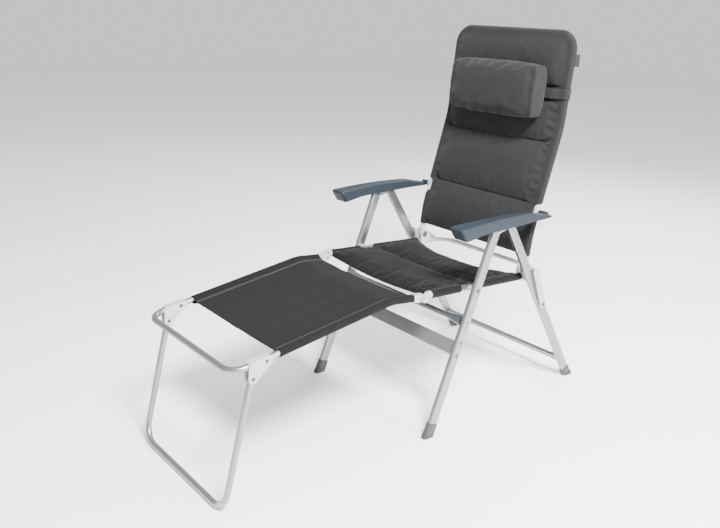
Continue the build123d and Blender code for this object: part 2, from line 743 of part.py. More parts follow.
def arm_profile(inset):
    """Side view of the armrest: crowned top, slanted front end, tapered rear."""
    with BuildSketch(side_plane(0)) as view:
        with BuildLine():
            ThreePointArc((arm_front_y, arm_front_top_z - inset), (arm_crest_y, arm_crest_z - inset),
                          (arm_fall_y, arm_fall_z - inset))
            Polyline((arm_fall_y, arm_fall_z - inset), (arm_rear_y, arm_tail_top_z - inset),
                     (arm_rear_y, arm_tail_low_z), (arm_fall_y, arm_low_z), (arm_belly_y, arm_low_z),
                     (arm_chin_y, arm_chin_z), (arm_front_y, arm_front_top_z - inset))
        make_face()
    return view.sketch


arm_depth = arm_front_outer_x + overrun
arm_crown_z = arm_crest_z + overrun
with BuildPart() as armrest:
    extrude(arm_outline(0), amount=arm_crown_z)
    extrude(arm_profile(0), amount=arm_depth, mode=Mode.INTERSECT)
    front_corners = armrest.edges().filter_by(
        lambda edge: arm_front_y < edge.center().Y < arm_chin_y
        and abs(edge.center().Z - (arm_front_top_z + arm_chin_z) / 2) < arm_wall)
    rear_corners = armrest.edges().filter_by(Axis.Z).group_by(Axis.Y)[-1]
    fillet(list(front_corners) + list(rear_corners), radius=arm_end_round)
    rim = armrest.edges().filter_by(
        lambda edge: min(vertex.Z for vertex in edge.vertices()) > arm_low_z + arm_rim_band)
    fillet(rim, radius=arm_top_round)
    with BuildPart(mode=Mode.PRIVATE) as hollow:
        extrude(arm_outline(arm_wall), amount=arm_crown_z)
        extrude(arm_profile(arm_roof), amount=arm_depth, mode=Mode.INTERSECT)
        with BuildSketch():
            with Locations((0, leg_pivot_y - arm_cavity_front_reach)):
                Rectangle(arm_depth, arm_cavity_front_reach + arm_cavity_rear_reach,
                          align=(Align.MIN, Align.MIN))
        extrude(amount=arm_crown_z, mode=Mode.INTERSECT)
    add(hollow.part, mode=Mode.SUBTRACT)
    cross_pin(bush_inner_x - overrun, arm_tail_inner_x + arm_bush_depth, boss_y, boss_z,
              arm_bush_radius + running_gap, Mode.SUBTRACT)
save_pair(armrest, "armrest")

with BuildPart() as arm_bushes:
    cross_pin(bush_inner_x, arm_tail_inner_x + arm_bush_depth - seat_gap, boss_y, boss_z, arm_bush_radius)
save_both(arm_bushes, "armrest_bushes")

# Footrest frame: one bent tube
rest_side = [
    (rest_x, rest_start_y, rest_start_z),
    (rest_x, rest_knee_y, rest_knee_z),
    (rest_x, rest_front_y, rest_front_z),
]
rest_return = [(-x, y, z) for x, y, z in reversed(rest_side)]
rest_bends = [rest_knee_bend, rest_corner_bend]
with BuildLine(mode=Mode.PRIVATE) as rest_path:
    FilletPolyline(*rest_side, *rest_return, radius=rest_bends + rest_bends[::-1])
front_slope = (rest_front_z - rest_knee_z) / (rest_front_y - rest_knee_y)


def rest_line_z(y):
    """Height of the footrest tube's centre line between its knee and its front."""
    return rest_front_z + (y - rest_front_y) * front_slope


gusset_inner_x = rest_x - rest_radius - gusset_side_gap - gusset_wall
gusset_outer_x = rest_x + rest_radius + gusset_side_gap + gusset_wall
gusset_rivet_z = rest_line_z(gusset_rivet_y)
with BuildPart() as rest_frame:
    with BuildSketch(rest_path.line ^ 0):
        Circle(rest_radius)
        Circle(rest_radius - rest_wall, mode=Mode.SUBTRACT)
    sweep(path=rest_path.line)
    cross_pin(-gusset_outer_x, gusset_outer_x, gusset_rivet_y, gusset_rivet_z,
              rivet_radius + running_gap, Mode.SUBTRACT)
save(rest_frame.part, "footrest_frame")


def rest_sweep(radius):
    """Solid round bar of the given radius along the footrest's tube."""
    with BuildPart(mode=Mode.PRIVATE) as bar:
        with BuildSketch(rest_path.line ^ 0):
            Circle(radius)
        sweep(path=rest_path.line)
    return bar.part


# Hooks that clip the footrest onto its pins
rest_slope = (rest_knee_z - rest_start_z) / (rest_knee_y - rest_start_y)
with BuildPart() as rest_hook:
    hook_width = hook_outer_x - hook_inner_x
    cross_pin(hook_inner_x, hook_outer_x, rest_pivot_y, rest_pivot_z, barrel_radius + hook_ring)
    socket_end_y = rest_start_y - hook_socket
    with BuildSketch(side_plane(hook_inner_x)):
        with BuildLine():
            Polyline((rest_pivot_y, rest_pivot_z + barrel_radius + hook_ring),
                     (socket_end_y, rest_start_z - hook_socket * rest_slope + rest_radius + hook_wall),
                     (socket_end_y, rest_start_z - hook_socket * rest_slope - rest_radius - hook_wall),
                     (rest_pivot_y, rest_pivot_z - barrel_radius - hook_ring), close=True)
        make_face()
    extrude(amount=hook_width)
    add(rest_sweep(rest_radius + running_gap), mode=Mode.SUBTRACT)
    cross_pin(hook_inner_x - overrun, hook_outer_x + overrun, rest_pivot_y, rest_pivot_z,
              barrel_radius + running_gap, Mode.SUBTRACT)
    with BuildSketch(side_plane(hook_inner_x - overrun)):
        with Locations((rest_pivot_y, rest_pivot_z)):
            Rectangle(hook_mouth, 2 * (barrel_radius + hook_ring), align=(Align.CENTER, Align.MAX))
    extrude(amount=hook_width + 2 * overrun, mode=Mode.SUBTRACT)
save_pair(rest_hook, "footrest_hook")

# Gusset brackets that carry the footrest's leg
gusset_margin = 2 * gusset_foot_radius
with BuildPart() as gusset:
    with BuildSketch(side_plane(gusset_inner_x)):
        with BuildLine():
            for y, z, radius in (
                (leg_top_y, leg_top_z, gusset_foot_radius),
                (gusset_rear_y, rest_line_z(gusset_rear_y), rest_radius + gusset_wall),
                (gusset_front_y, rest_line_z(gusset_front_y), rest_radius + gusset_wall),
            ):
                CenterArc((y, z), radius, 0, 360)
        make_hull()
    extrude(amount=gusset_outer_x - gusset_inner_x)
    add(rest_sweep(rest_radius + running_gap), mode=Mode.SUBTRACT)
    with BuildSketch(side_plane(gusset_inner_x + gusset_wall)):
        with BuildLine():
            cut_rear_y = max(gusset_rear_y, leg_top_y) + gusset_margin
            cut_front_y = min(gusset_front_y, leg_top_y) - gusset_margin
            Polyline((cut_rear_y, rest_line_z(cut_rear_y)), (cut_front_y, rest_line_z(cut_front_y)),
                     (cut_front_y, leg_top_z - gusset_margin),
                     (cut_rear_y, leg_top_z - gusset_margin), close=True)
        make_face()
    extrude(amount=2 * (rest_radius + gusset_side_gap), mode=Mode.SUBTRACT)
    for hole in ((gusset_rivet_y, gusset_rivet_z), (leg_top_y, leg_top_z)):
        cross_pin(gusset_inner_x - overrun, gusset_outer_x + overrun, *hole,
                  rivet_radius + running_gap, Mode.SUBTRACT)
save_pair(gusset, "gusset_bracket")

for hole, name in (
    ((gusset_rivet_y, gusset_rivet_z), "gusset_rivets"),
    ((leg_top_y, leg_top_z), "footrest_leg_rivets"),
):
    with BuildPart() as rivet_pair:
        cross_pin(gusset_inner_x, gusset_outer_x, *hole, rivet_radius)
        domed_head(gusset_outer_x, *hole, rivet_radius, 1)
        domed_head(gusset_inner_x, *hole, rivet_radius, -1)
    save_both(rivet_pair, name)

# Folding leg of the footrest: one bent tube
leg_bar_y = rest_radius - leg_front_reach
leg_bar_z = rest_radius
leg_run = hypot(leg_bar_y - leg_top_y, leg_bar_z - leg_top_z)
leg_start_y = leg_top_y - (leg_bar_y - leg_top_y) * leg_top_end / leg_run
leg_start_z = leg_top_z - (leg_bar_z - leg_top_z) * leg_top_end / leg_run
leg_side = [(rest_x, leg_start_y, leg_start_z), (rest_x, leg_bar_y, leg_bar_z)]
leg_return = [(-x, y, z) for x, y, z in reversed(leg_side)]
with BuildLine(mode=Mode.PRIVATE) as leg_path:
    FilletPolyline(*leg_side, *leg_return, radius=[leg_corner_bend, leg_corner_bend])
with BuildPart() as rest_leg:
    with BuildSketch(leg_path.line ^ 0):
        Circle(rest_radius)
        Circle(rest_radius - rest_wall, mode=Mode.SUBTRACT)
    sweep(path=leg_path.line)
    cross_pin(-gusset_outer_x, gusset_outer_x, leg_top_y, leg_top_z, rivet_radius + running_gap,
              Mode.SUBTRACT)
save(rest_leg.part, "footrest_leg")


def back_line_y(z):
    """Depth of the back tube's centre line at a height above the knee or below it."""
    knots = [(end_z, end_y), (back_knee_z, back_knee_y), (back_shoulder_z, back_shoulder_y),
             (back_top_z, back_top_y)]
    for (low_z, low_y), (high_z, high_y) in zip(knots, knots[1:]):
        if z <= high_z:
            break
    return low_y + (z - low_z) * (high_y - low_y) / (high_z - low_z)


def arched_face(half_width, front, rear, front_rise, rear_rise):
    """Face between two arcs: its ends are at plus and minus the half width."""
    with BuildSketch() as face:
        with BuildLine():
            ThreePointArc((-half_width, front), (0, front + front_rise), (half_width, front))
            Line((half_width, front), (half_width, rear))
            ThreePointArc((half_width, rear), (0, rear + rear_rise), (-half_width, rear))
            Line((-half_width, rear), (-half_width, front))
        make_face()
    return face.sketch


# Seat cushion: sleeves round the side tubes and two padded panels between them
seat_sleeve = tube_radius + pocket_wall
with BuildPart() as seat_pad:
    sleeve_run = (seat_cloth_rear_y - seat_cloth_front_y) / cos(radians(seat_slope))
    for side in (-1, 1):
        sleeve_plane = Plane(origin=(side * tube_x, seat_cloth_front_y, seat_line_z(seat_cloth_front_y)),
                             x_dir=(1, 0, 0), z_dir=(0, 1, -seat_drop_share))
        with BuildSketch(sleeve_plane):
            Circle(seat_sleeve)
        extrude(amount=sleeve_run)
    for start_y, end_y_ in (
        (seat_cloth_front_y, seat_cloth_seam_y),
        (seat_cloth_seam_y, seat_cloth_rear_y),
    ):
        middle_y = (start_y + end_y_) / 2
        for y, half_thick in ((start_y, seat_edge), (middle_y, seat_crown), (end_y_, seat_edge)):
            flat = Plane(origin=(0, y, seat_line_z(y)), x_dir=(1, 0, 0), z_dir=(0, 1, 0))
            with BuildSketch(flat):
                add(arched_face(tube_x, -seat_edge, seat_edge,
                                seat_edge - half_thick + seat_sag,
                                half_thick - seat_edge + seat_sag))
        loft()
    with BuildSketch():
        wide = 2 * tube_x
        with BuildLine():
            ThreePointArc((-wide, seat_cloth_front_y), (0, seat_cloth_front_y + seat_front_scoop),
                          (wide, seat_cloth_front_y))
            Line((wide, seat_cloth_front_y), (wide, seat_cloth_rear_y))
            Line((wide, seat_cloth_rear_y), (tube_x, seat_cloth_rear_y))
            ThreePointArc((tube_x, seat_cloth_rear_y), (0, seat_cloth_rear_y - seat_rear_scoop),
                          (-tube_x, seat_cloth_rear_y))
            Line((-tube_x, seat_cloth_rear_y), (-wide, seat_cloth_rear_y))
            Line((-wide, seat_cloth_rear_y), (-wide, seat_cloth_front_y))
        make_face()
    extrude(amount=back_top_z, mode=Mode.INTERSECT)
    for side in (-1, 1):
        tube_plane = Plane(origin=(side * tube_x, seat_tube_front_y, seat_line_z(seat_tube_front_y)),
                           x_dir=(1, 0, 0), z_dir=(0, 1, -seat_drop_share))
        with BuildSketch(tube_plane):
            Circle(tube_radius + cloth_gap)
        extrude(amount=seat_run, mode=Mode.SUBTRACT)
        notch_x = side * (tube_x + seat_sleeve)
        with Locations((notch_x, seat_pivot_y, seat_pivot_z)):
            Box(2 * seat_notch_depth, seat_notch_length, 4 * seat_sleeve, mode=Mode.SUBTRACT)
save(seat_pad.part, "seat_cushion")

# Back cover: a sleeve round the tube and four padded panels
back_sleeve = tube_radius + pocket_wall


def back_sweep(radius):
    """Solid round bar of the given radius along the back tube."""
    with BuildPart(mode=Mode.PRIVATE) as bar:
        with BuildSketch(back_path.line ^ 0):
            Circle(radius)
        sweep(path=back_path.line)
    return bar.part


with BuildPart() as back_cover:
    levels = [back_cloth_low_z, back_channel_low_z, back_channel_mid_z, back_channel_high_z, back_top_z]
    for low_z, high_z in zip(levels, levels[1:]):
        for z, crown in ((low_z, back_channel_crown), ((low_z + high_z) / 2, back_front_crown),
                         (high_z, back_channel_crown)):
            flat = Plane(origin=(0, back_line_y(z), z), x_dir=(1, 0, 0), z_dir=(0, 0, 1))
            with BuildSketch(flat):
                add(arched_face(tube_x, back_edge - back_sleeve, back_sleeve - back_edge,
                                back_sleeve - back_edge - crown, back_edge))
        loft()
    corner_x = tube_x - back_top_bend
    corner_z = back_top_z - back_top_bend
    with BuildSketch(Plane.XZ) as corner_cuts:
        with BuildLine():
            CenterArc((corner_x, corner_z), back_top_bend, 0, 90)
            Polyline((corner_x, back_top_z), (corner_x, back_top_z + overrun),
                     (tube_x + overrun, back_top_z + overrun), (tube_x + overrun, corner_z),
                     (tube_x, corner_z))
        make_face()
        mirror(about=Plane.YZ)
    extrude(amount=back_top_z, both=True, mode=Mode.SUBTRACT)
    with BuildPart(mode=Mode.PRIVATE) as back_hem:
        add(back_sweep(back_sleeve))
        split(bisect_by=Plane.XY.offset(back_cloth_low_z), keep=Keep.TOP)
    add(back_hem.part)
    add(back_sweep(tube_radius + cloth_gap), mode=Mode.SUBTRACT)
    for side in (-1, 1):
        notch_z = (back_notch_low_z + back_notch_high_z) / 2
        with Locations((side * (tube_x + back_sleeve), boss_y, notch_z)):
            Box(2 * back_notch_depth, 4 * back_sleeve, back_notch_high_z - back_notch_low_z,
                mode=Mode.SUBTRACT)
save(back_cover.part, "back_cover")

# Footrest sling: sleeves round the side tubes and a thin sheet between them
rest_sleeve = rest_radius + rest_pocket_wall
with BuildPart() as rest_sling:
    add(rest_sweep(rest_sleeve))
    with BuildSketch():
        with Locations((0, rest_cloth_front_y)):
            Rectangle(4 * rest_x, rest_cloth_rear_y - rest_cloth_front_y,
                      align=(Align.CENTER, Align.MIN))
    extrude(amount=back_top_z, mode=Mode.INTERSECT)
    sheet_half = rest_cloth_thickness / 2
    for low_y, high_y in ((rest_cloth_front_y, rest_knee_y), (rest_knee_y, rest_cloth_rear_y)):
        for y in (low_y, high_y):
            line_z = rest_line_z(y) if y <= rest_knee_y else rest_knee_z + (y - rest_knee_y) * rest_slope
            flat = Plane(origin=(0, y, line_z), x_dir=(1, 0, 0), z_dir=(0, 1, 0))
            with BuildSketch(flat):
                add(arched_face(rest_x, -sheet_half, sheet_half, rest_cloth_sag, rest_cloth_sag))
        loft()
    add(rest_sweep(rest_radius + cloth_gap), mode=Mode.SUBTRACT)
save(rest_sling.part, "footrest_sling")

# Head pillow: flat against the cover, full in front, drawn in at both ends
pillow_offset = back_front_crown + strap_thickness + pillow_ease
pillow_middle_z = (pillow_low_z + pillow_high_z) / 2
with BuildPart() as pillow:
    for x in (-pillow_half_width, 0, pillow_half_width):
        shrink = pillow_end_share if x else 1
        half_height = (pillow_high_z - pillow_low_z) / 2 * shrink
        depth = pillow_depth * shrink
        corner = pillow_round * shrink
        low_z, high_z = pillow_middle_z - half_height, pillow_middle_z + half_height
        low_back = back_line_y(pillow_low_z) - pillow_offset
        high_back = back_line_y(pillow_high_z) - pillow_offset
        with BuildSketch(side_plane(x)):
            with BuildLine():
                Line((low_back - corner, low_z), (low_back - depth + corner, low_z))
                JernArc((low_back - depth + corner, low_z), (-1, 0), corner, -90)
                Line((low_back - depth, low_z + corner), (high_back - depth, high_z - corner))
                JernArc((high_back - depth, high_z - corner), (0, 1), corner, -90)
                Line((high_back - depth + corner, high_z), (high_back - corner, high_z))
                JernArc((high_back - corner, high_z), (1, 0), corner, -90)
                Line((high_back, high_z - corner), (low_back, low_z + corner))
                JernArc((low_back, low_z + corner), (0, -1), corner, -90)
            make_face()
    loft()
save(pillow.part, "head_pillow")

# Strap that holds the pillow, round the whole back
strap_inner = back_sleeve + strap_ease
strap_front = back_front_crown + 2 * cloth_gap
with BuildPart() as strap:
    for grow, way in ((strap_thickness, Mode.ADD), (0, Mode.SUBTRACT)):
        for z in (strap_low_z, strap_low_z + strap_height):
            y = back_line_y(z)
            with BuildSketch(Plane.XY.offset(z)):
                with BuildLine():
                    reach = tube_x + strap_inner + grow
                    front = y - strap_front - grow
                    rear = y + strap_inner + grow
                    Line((-tube_x, front), (tube_x, front))
                    JernArc((tube_x, front), (1, 0), reach - tube_x, 90)
                    Line((reach, front + reach - tube_x), (reach, rear - reach + tube_x))
                    JernArc((reach, rear - reach + tube_x), (0, 1), reach - tube_x, 90)
                    Line((tube_x, rear), (-tube_x, rear))
                    JernArc((-tube_x, rear), (-1, 0), reach - tube_x, 90)
                    Line((-reach, rear - reach + tube_x), (-reach, front + reach - tube_x))
                    JernArc((-reach, front + reach - tube_x), (0, -1), reach - tube_x, 90)
                make_face()
        loft(mode=way)
save(strap.part, "pillow_strap")

# Tag sewn into the side of the cover
with BuildPart() as tag:
    tag_y = back_line_y(tag_z + tag_height / 2)
    with Locations((tube_x + back_sleeve + cloth_gap, tag_y, tag_z)):
        Box(tag_reach, tag_thickness, tag_height, align=(Align.MIN, Align.CENTER, Align.MIN))
save(tag.part, "side_tag")
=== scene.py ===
"""Looks of the folding camping chair with a footrest: cloth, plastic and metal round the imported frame."""

import json
import math

import bmesh
import bpy
import numpy as np
from mathutils import Matrix, Vector


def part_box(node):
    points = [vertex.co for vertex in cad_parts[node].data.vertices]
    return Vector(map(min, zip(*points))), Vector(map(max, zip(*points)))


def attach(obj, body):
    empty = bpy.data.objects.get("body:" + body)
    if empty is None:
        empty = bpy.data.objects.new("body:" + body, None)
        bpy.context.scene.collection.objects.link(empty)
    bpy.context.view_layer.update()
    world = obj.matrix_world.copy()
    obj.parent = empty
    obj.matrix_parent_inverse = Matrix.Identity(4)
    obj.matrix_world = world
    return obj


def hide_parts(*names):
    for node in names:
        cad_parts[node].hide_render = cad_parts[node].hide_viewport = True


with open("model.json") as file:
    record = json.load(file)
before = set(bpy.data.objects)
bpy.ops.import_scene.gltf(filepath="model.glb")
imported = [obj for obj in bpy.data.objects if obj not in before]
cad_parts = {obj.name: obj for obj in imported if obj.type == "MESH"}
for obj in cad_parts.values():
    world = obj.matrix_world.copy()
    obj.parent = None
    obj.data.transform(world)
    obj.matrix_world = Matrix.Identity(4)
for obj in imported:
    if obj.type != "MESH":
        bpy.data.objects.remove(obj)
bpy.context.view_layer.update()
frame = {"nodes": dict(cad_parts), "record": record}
nodes = frame["nodes"]
scene = bpy.context.scene


# Camera and lights

CAMERA_PLACE = (1.75317, -1.53317, 1.28806)
CAMERA_ANGLES = (50.09, 19.03, 1.26)
SENSOR_WIDTH = 36
FOCAL_PIXELS, IMAGE_WIDTH = 775.52, 720
CLIP_END = 50


def add_camera():
    """The photograph's camera: azimuth, elevation and roll in degrees, and a focal length in image pixels."""
    azimuth, elevation, roll = (math.radians(a) for a in CAMERA_ANGLES)
    back = Vector((math.sin(azimuth) * math.cos(elevation), -math.cos(azimuth) * math.cos(elevation),
                   math.sin(elevation)))
    right = Vector((math.cos(azimuth), math.sin(azimuth), 0))
    up = back.cross(right)
    rolled_right = right * math.cos(roll) + up * math.sin(roll)
    rolled_up = up * math.cos(roll) - right * math.sin(roll)
    data = bpy.data.cameras.new("camera")
    data.sensor_width, data.clip_end = SENSOR_WIDTH, CLIP_END
    data.lens = FOCAL_PIXELS / IMAGE_WIDTH * SENSOR_WIDTH
    camera = bpy.data.objects.new("camera", data)
    turn = Matrix((rolled_right, rolled_up, back)).transposed().to_4x4()
    camera.matrix_world = Matrix.Translation(CAMERA_PLACE) @ turn
    scene.collection.objects.link(camera)
    scene.camera = camera


def add_light(name, place, target, size, power):
    """A round area light; size is its width in metres, power its watts."""
    data = bpy.data.lights.new(name, "AREA")
    data.shape, data.size, data.energy = "DISK", size, power
    light = bpy.data.objects.new(name, data)
    aim = (Vector(target) - Vector(place)).to_track_quat("-Z", "Y").to_matrix().to_4x4()
    light.matrix_world = Matrix.Translation(place) @ aim
    scene.collection.objects.link(light)


# Node helpers

def new_group(name, inputs, outputs):
    """An empty node group and its input and output nodes."""
    group = bpy.data.node_groups.new(name, "ShaderNodeTree")
    for label, kind, value in inputs:
        item = group.interface.new_socket(label, in_out="INPUT", socket_type=kind)
        if value is not None:
            item.default_value = value
    for label, kind in outputs:
        group.interface.new_socket(label, in_out="OUTPUT", socket_type=kind)
    return group, group.nodes.new("NodeGroupInput"), group.nodes.new("NodeGroupOutput")


def add_node(tree, kind, **settings):
    node = tree.nodes.new(kind)
    for key, value in settings.items():
        if hasattr(node, key) and key not in node.inputs:
            setattr(node, key, value)
        else:
            node.inputs[key].default_value = value
    return node


def maths(tree, operation, a, b=None):
    """A Math node whose inputs are sockets or numbers; its output."""
    node = tree.nodes.new("ShaderNodeMath")
    node.operation = operation
    for socket, value in zip(node.inputs, (a, b)):
        if value is None:
            continue
        if isinstance(value, (int, float)):
            socket.default_value = value
        else:
            tree.links.new(value, socket)
    return node.outputs[0]


def noise(tree, vector, scale, detail, roughness=0.5):
    node = add_node(tree, "ShaderNodeTexNoise", Scale=scale, Detail=detail, Roughness=roughness)
    tree.links.new(vector, node.inputs["Vector"])
    return node.outputs["Fac"]


def remap(tree, value, low, high, to_low, to_high):
    node = tree.nodes.new("ShaderNodeMapRange")
    tree.links.new(value, node.inputs["Value"])
    for label, number in (("From Min", low), ("From Max", high), ("To Min", to_low), ("To Max", to_high)):
        node.inputs[label].default_value = number
    return node.outputs[0]


def stretched(tree, vector, factors):
    node = add_node(tree, "ShaderNodeMapping")
    node.inputs["Scale"].default_value = factors
    tree.links.new(vector, node.inputs["Vector"])
    return node.outputs[0]


def tinted(tree, colour, factor):
    """The colour times a grey factor."""
    node = tree.nodes.new("ShaderNodeMix")
    node.data_type, node.blend_type = "RGBA", "MULTIPLY"
    node.inputs[0].default_value = 1
    for socket, value in ((node.inputs[6], colour), (node.inputs[7], factor)):
        if isinstance(value, tuple):
            socket.default_value = value
        else:
            tree.links.new(value, socket)
    return node.outputs[2]


YARN_SHADE, SLUB_SHADE = 0.10, 0.35
SLUB_ALONG, SLUB_ACROSS, SLUB_DEEP = 30, 900, 300
CLOTH_MOTTLE_SCALE, CLOTH_ROUGHNESS = 9.0, (0.80, 0.92)
CLOTH_DEPTH, CLOTH_BUMP, SHEEN_ROUGHNESS = 0.0004, 0.5, 0.45
THREAD_SHOWN = -0.3
GROOVE_HALF, GROOVE_DEEP = 0.0035, 2.5
# Colour of the painted shade in bands by the cloth's edges, where the tubes and bosses go in.
EDGE_SHADE_COLOUR = (0.006, 0.006, 0.007, 1)
BLOTCH_SCALE, SCUFF_SCALES = 14.0, (60, 60, 600)


def make_weave_group():
    """Plain woven cloth: crossing yarns, slubs, and a soft mottle.
    The yarns' height is sin(2 pi a / p) times sin(2 pi b / p), where a and b are the two coordinates across
    the cloth and p is the yarn pitch."""
    group, start, end = new_group(
        "weave", [("Vector", "NodeSocketVector", None), ("Colour", "NodeSocketColor", (0.1, 0.1, 0.1, 1)),
                  ("Pitch", "NodeSocketFloat", 0.0011), ("Mottle", "NodeSocketFloat", 0.12)],
        [("Colour", "NodeSocketColor"), ("Height", "NodeSocketFloat"), ("Roughness", "NodeSocketFloat")])
    vector = start.outputs["Vector"]
    parts = group.nodes.new("ShaderNodeSeparateXYZ")
    group.links.new(vector, parts.inputs[0])
    rate = maths(group, "DIVIDE", 2 * math.pi, start.outputs["Pitch"])
    waves = [maths(group, "SINE", maths(group, "MULTIPLY", parts.outputs[i], rate)) for i in (0, 1)]
    yarn = maths(group, "MULTIPLY", waves[0], waves[1])
    slub_a = noise(group, stretched(group, vector, (SLUB_ALONG, SLUB_ACROSS, SLUB_DEEP)), 1.0, 3)
    slub_b = noise(group, stretched(group, vector, (SLUB_ACROSS, SLUB_ALONG, SLUB_DEEP)), 1.0, 3)
    slub = maths(group, "ADD", slub_a, slub_b)
    soft = noise(group, vector, CLOTH_MOTTLE_SCALE, 4, 0.6)
    shade = maths(group, "ADD", maths(group, "MULTIPLY", maths(group, "SUBTRACT", slub, 1.0), SLUB_SHADE),
                  maths(group, "MULTIPLY", maths(group, "SUBTRACT", soft, 0.5), start.outputs["Mottle"]))
    shade = maths(group, "ADD", maths(group, "ADD", shade, 1.0), maths(group, "MULTIPLY", yarn, YARN_SHADE))
    group.links.new(tinted(group, start.outputs["Colour"], shade), end.inputs["Colour"])
    height = maths(group, "ADD", maths(group, "MULTIPLY", yarn, 0.5), slub)
    group.links.new(height, end.inputs["Height"])
    group.links.new(remap(group, soft, 0.3, 0.7, *CLOTH_ROUGHNESS), end.inputs["Roughness"])
    return group


def make_stitch_group():
    """Rows of stitches along B at plus and minus Place on A: a thread every Pitch, shown while
    sin(2 pi b / p) is over THREAD_SHOWN, in a groove that is GROOVE_HALF wide on each side."""
    group, start, end = new_group(
        "stitches", [("A", "NodeSocketFloat", 0), ("B", "NodeSocketFloat", 0),
                     ("Place", "NodeSocketFloat", 0.22), ("Width", "NodeSocketFloat", 0.0007),
                     ("Pitch", "NodeSocketFloat", 0.005)],
        [("Mask", "NodeSocketFloat"), ("Groove", "NodeSocketFloat")])
    away = maths(group, "ABSOLUTE", maths(group, "SUBTRACT", maths(group, "ABSOLUTE", start.outputs["A"]),
                                          start.outputs["Place"]))
    near = maths(group, "LESS_THAN", away, start.outputs["Width"])
    beat = maths(group, "SINE", maths(group, "MULTIPLY", start.outputs["B"],
                                      maths(group, "DIVIDE", 2 * math.pi, start.outputs["Pitch"])))
    shown = maths(group, "GREATER_THAN", beat, THREAD_SHOWN)
    group.links.new(maths(group, "MULTIPLY", near, shown), end.inputs["Mask"])
    reach = maths(group, "MINIMUM", maths(group, "DIVIDE", away, GROOVE_HALF), 1.0)
    groove = maths(group, "SUBTRACT", 1.0, reach)
    group.links.new(groove, end.inputs["Groove"])
    return group


def make_wear_group():
    """Fine grain, blotches and light scuffs for plastic and metal."""
    group, start, end = new_group(
        "grain", [("Vector", "NodeSocketVector", None), ("Colour", "NodeSocketColor", (0.5, 0.5, 0.5, 1)),
                  ("Grain", "NodeSocketFloat", 900.0), ("Low", "NodeSocketFloat", 0.35),
                  ("High", "NodeSocketFloat", 0.5), ("Spread", "NodeSocketFloat", 0.06)],
        [("Colour", "NodeSocketColor"), ("Height", "NodeSocketFloat"), ("Roughness", "NodeSocketFloat")])
    vector = start.outputs["Vector"]
    fine = add_node(group, "ShaderNodeTexNoise", Detail=2.0)
    group.links.new(vector, fine.inputs["Vector"])
    group.links.new(start.outputs["Grain"], fine.inputs["Scale"])
    blotch = noise(group, vector, BLOTCH_SCALE, 4, 0.6)
    scuff = noise(group, stretched(group, vector, SCUFF_SCALES), 1.0, 3, 0.7)
    shade = 1.0
    for pattern in (blotch, scuff):
        change = maths(group, "MULTIPLY", maths(group, "SUBTRACT", pattern, 0.5), start.outputs["Spread"])
        shade = maths(group, "ADD", shade, change)
    group.links.new(tinted(group, start.outputs["Colour"], shade), end.inputs["Colour"])
    group.links.new(fine.outputs["Fac"], end.inputs["Height"])
    span = maths(group, "SUBTRACT", start.outputs["High"], start.outputs["Low"])
    group.links.new(maths(group, "ADD", start.outputs["Low"], maths(group, "MULTIPLY", scuff, span)),
                    end.inputs["Roughness"])
    return group


WEAVE, STITCH, GRAIN = make_weave_group(), make_stitch_group(), make_wear_group()


def start_material(name):
    material = bpy.data.materials.new(name)
    material.use_nodes = True
    tree = material.node_tree
    return material, tree, tree.nodes["Principled BSDF"]


def finish_bump(tree, shader, height, distance, strength):
    bump = add_node(tree, "ShaderNodeBump", Strength=strength, Distance=distance)
    tree.links.new(height, bump.inputs["Height"])
    tree.links.new(bump.outputs["Normal"], shader.inputs["Normal"])


def mixed(tree, mask, below, above):
    """The socket below, with the plain colour above laid over it by the mask."""
    mix = tree.nodes.new("ShaderNodeMix")
    mix.data_type = "RGBA"
    tree.links.new(mask, mix.inputs[0])
    tree.links.new(below, mix.inputs[6])
    mix.inputs[7].default_value = above
    return mix.outputs[2]


def painted_shade_patch(tree, parts, colour, letter, places, half, inner):
    """The colour with painted shade: a fixed dark colour is mixed in where the coordinate called letter lies
    within half of one of the places, and |x| is over inner."""
    side = maths(tree, "GREATER_THAN", maths(tree, "ABSOLUTE", parts.outputs["X"]), inner)
    total = None
    for place in places:
        away = maths(tree, "ABSOLUTE", maths(tree, "SUBTRACT", parts.outputs[letter], place))
        mask = maths(tree, "LESS_THAN", away, half)
        total = mask if total is None else maths(tree, "MAXIMUM", total, mask)
    return mixed(tree, maths(tree, "MULTIPLY", total, side), colour, EDGE_SHADE_COLOUR)


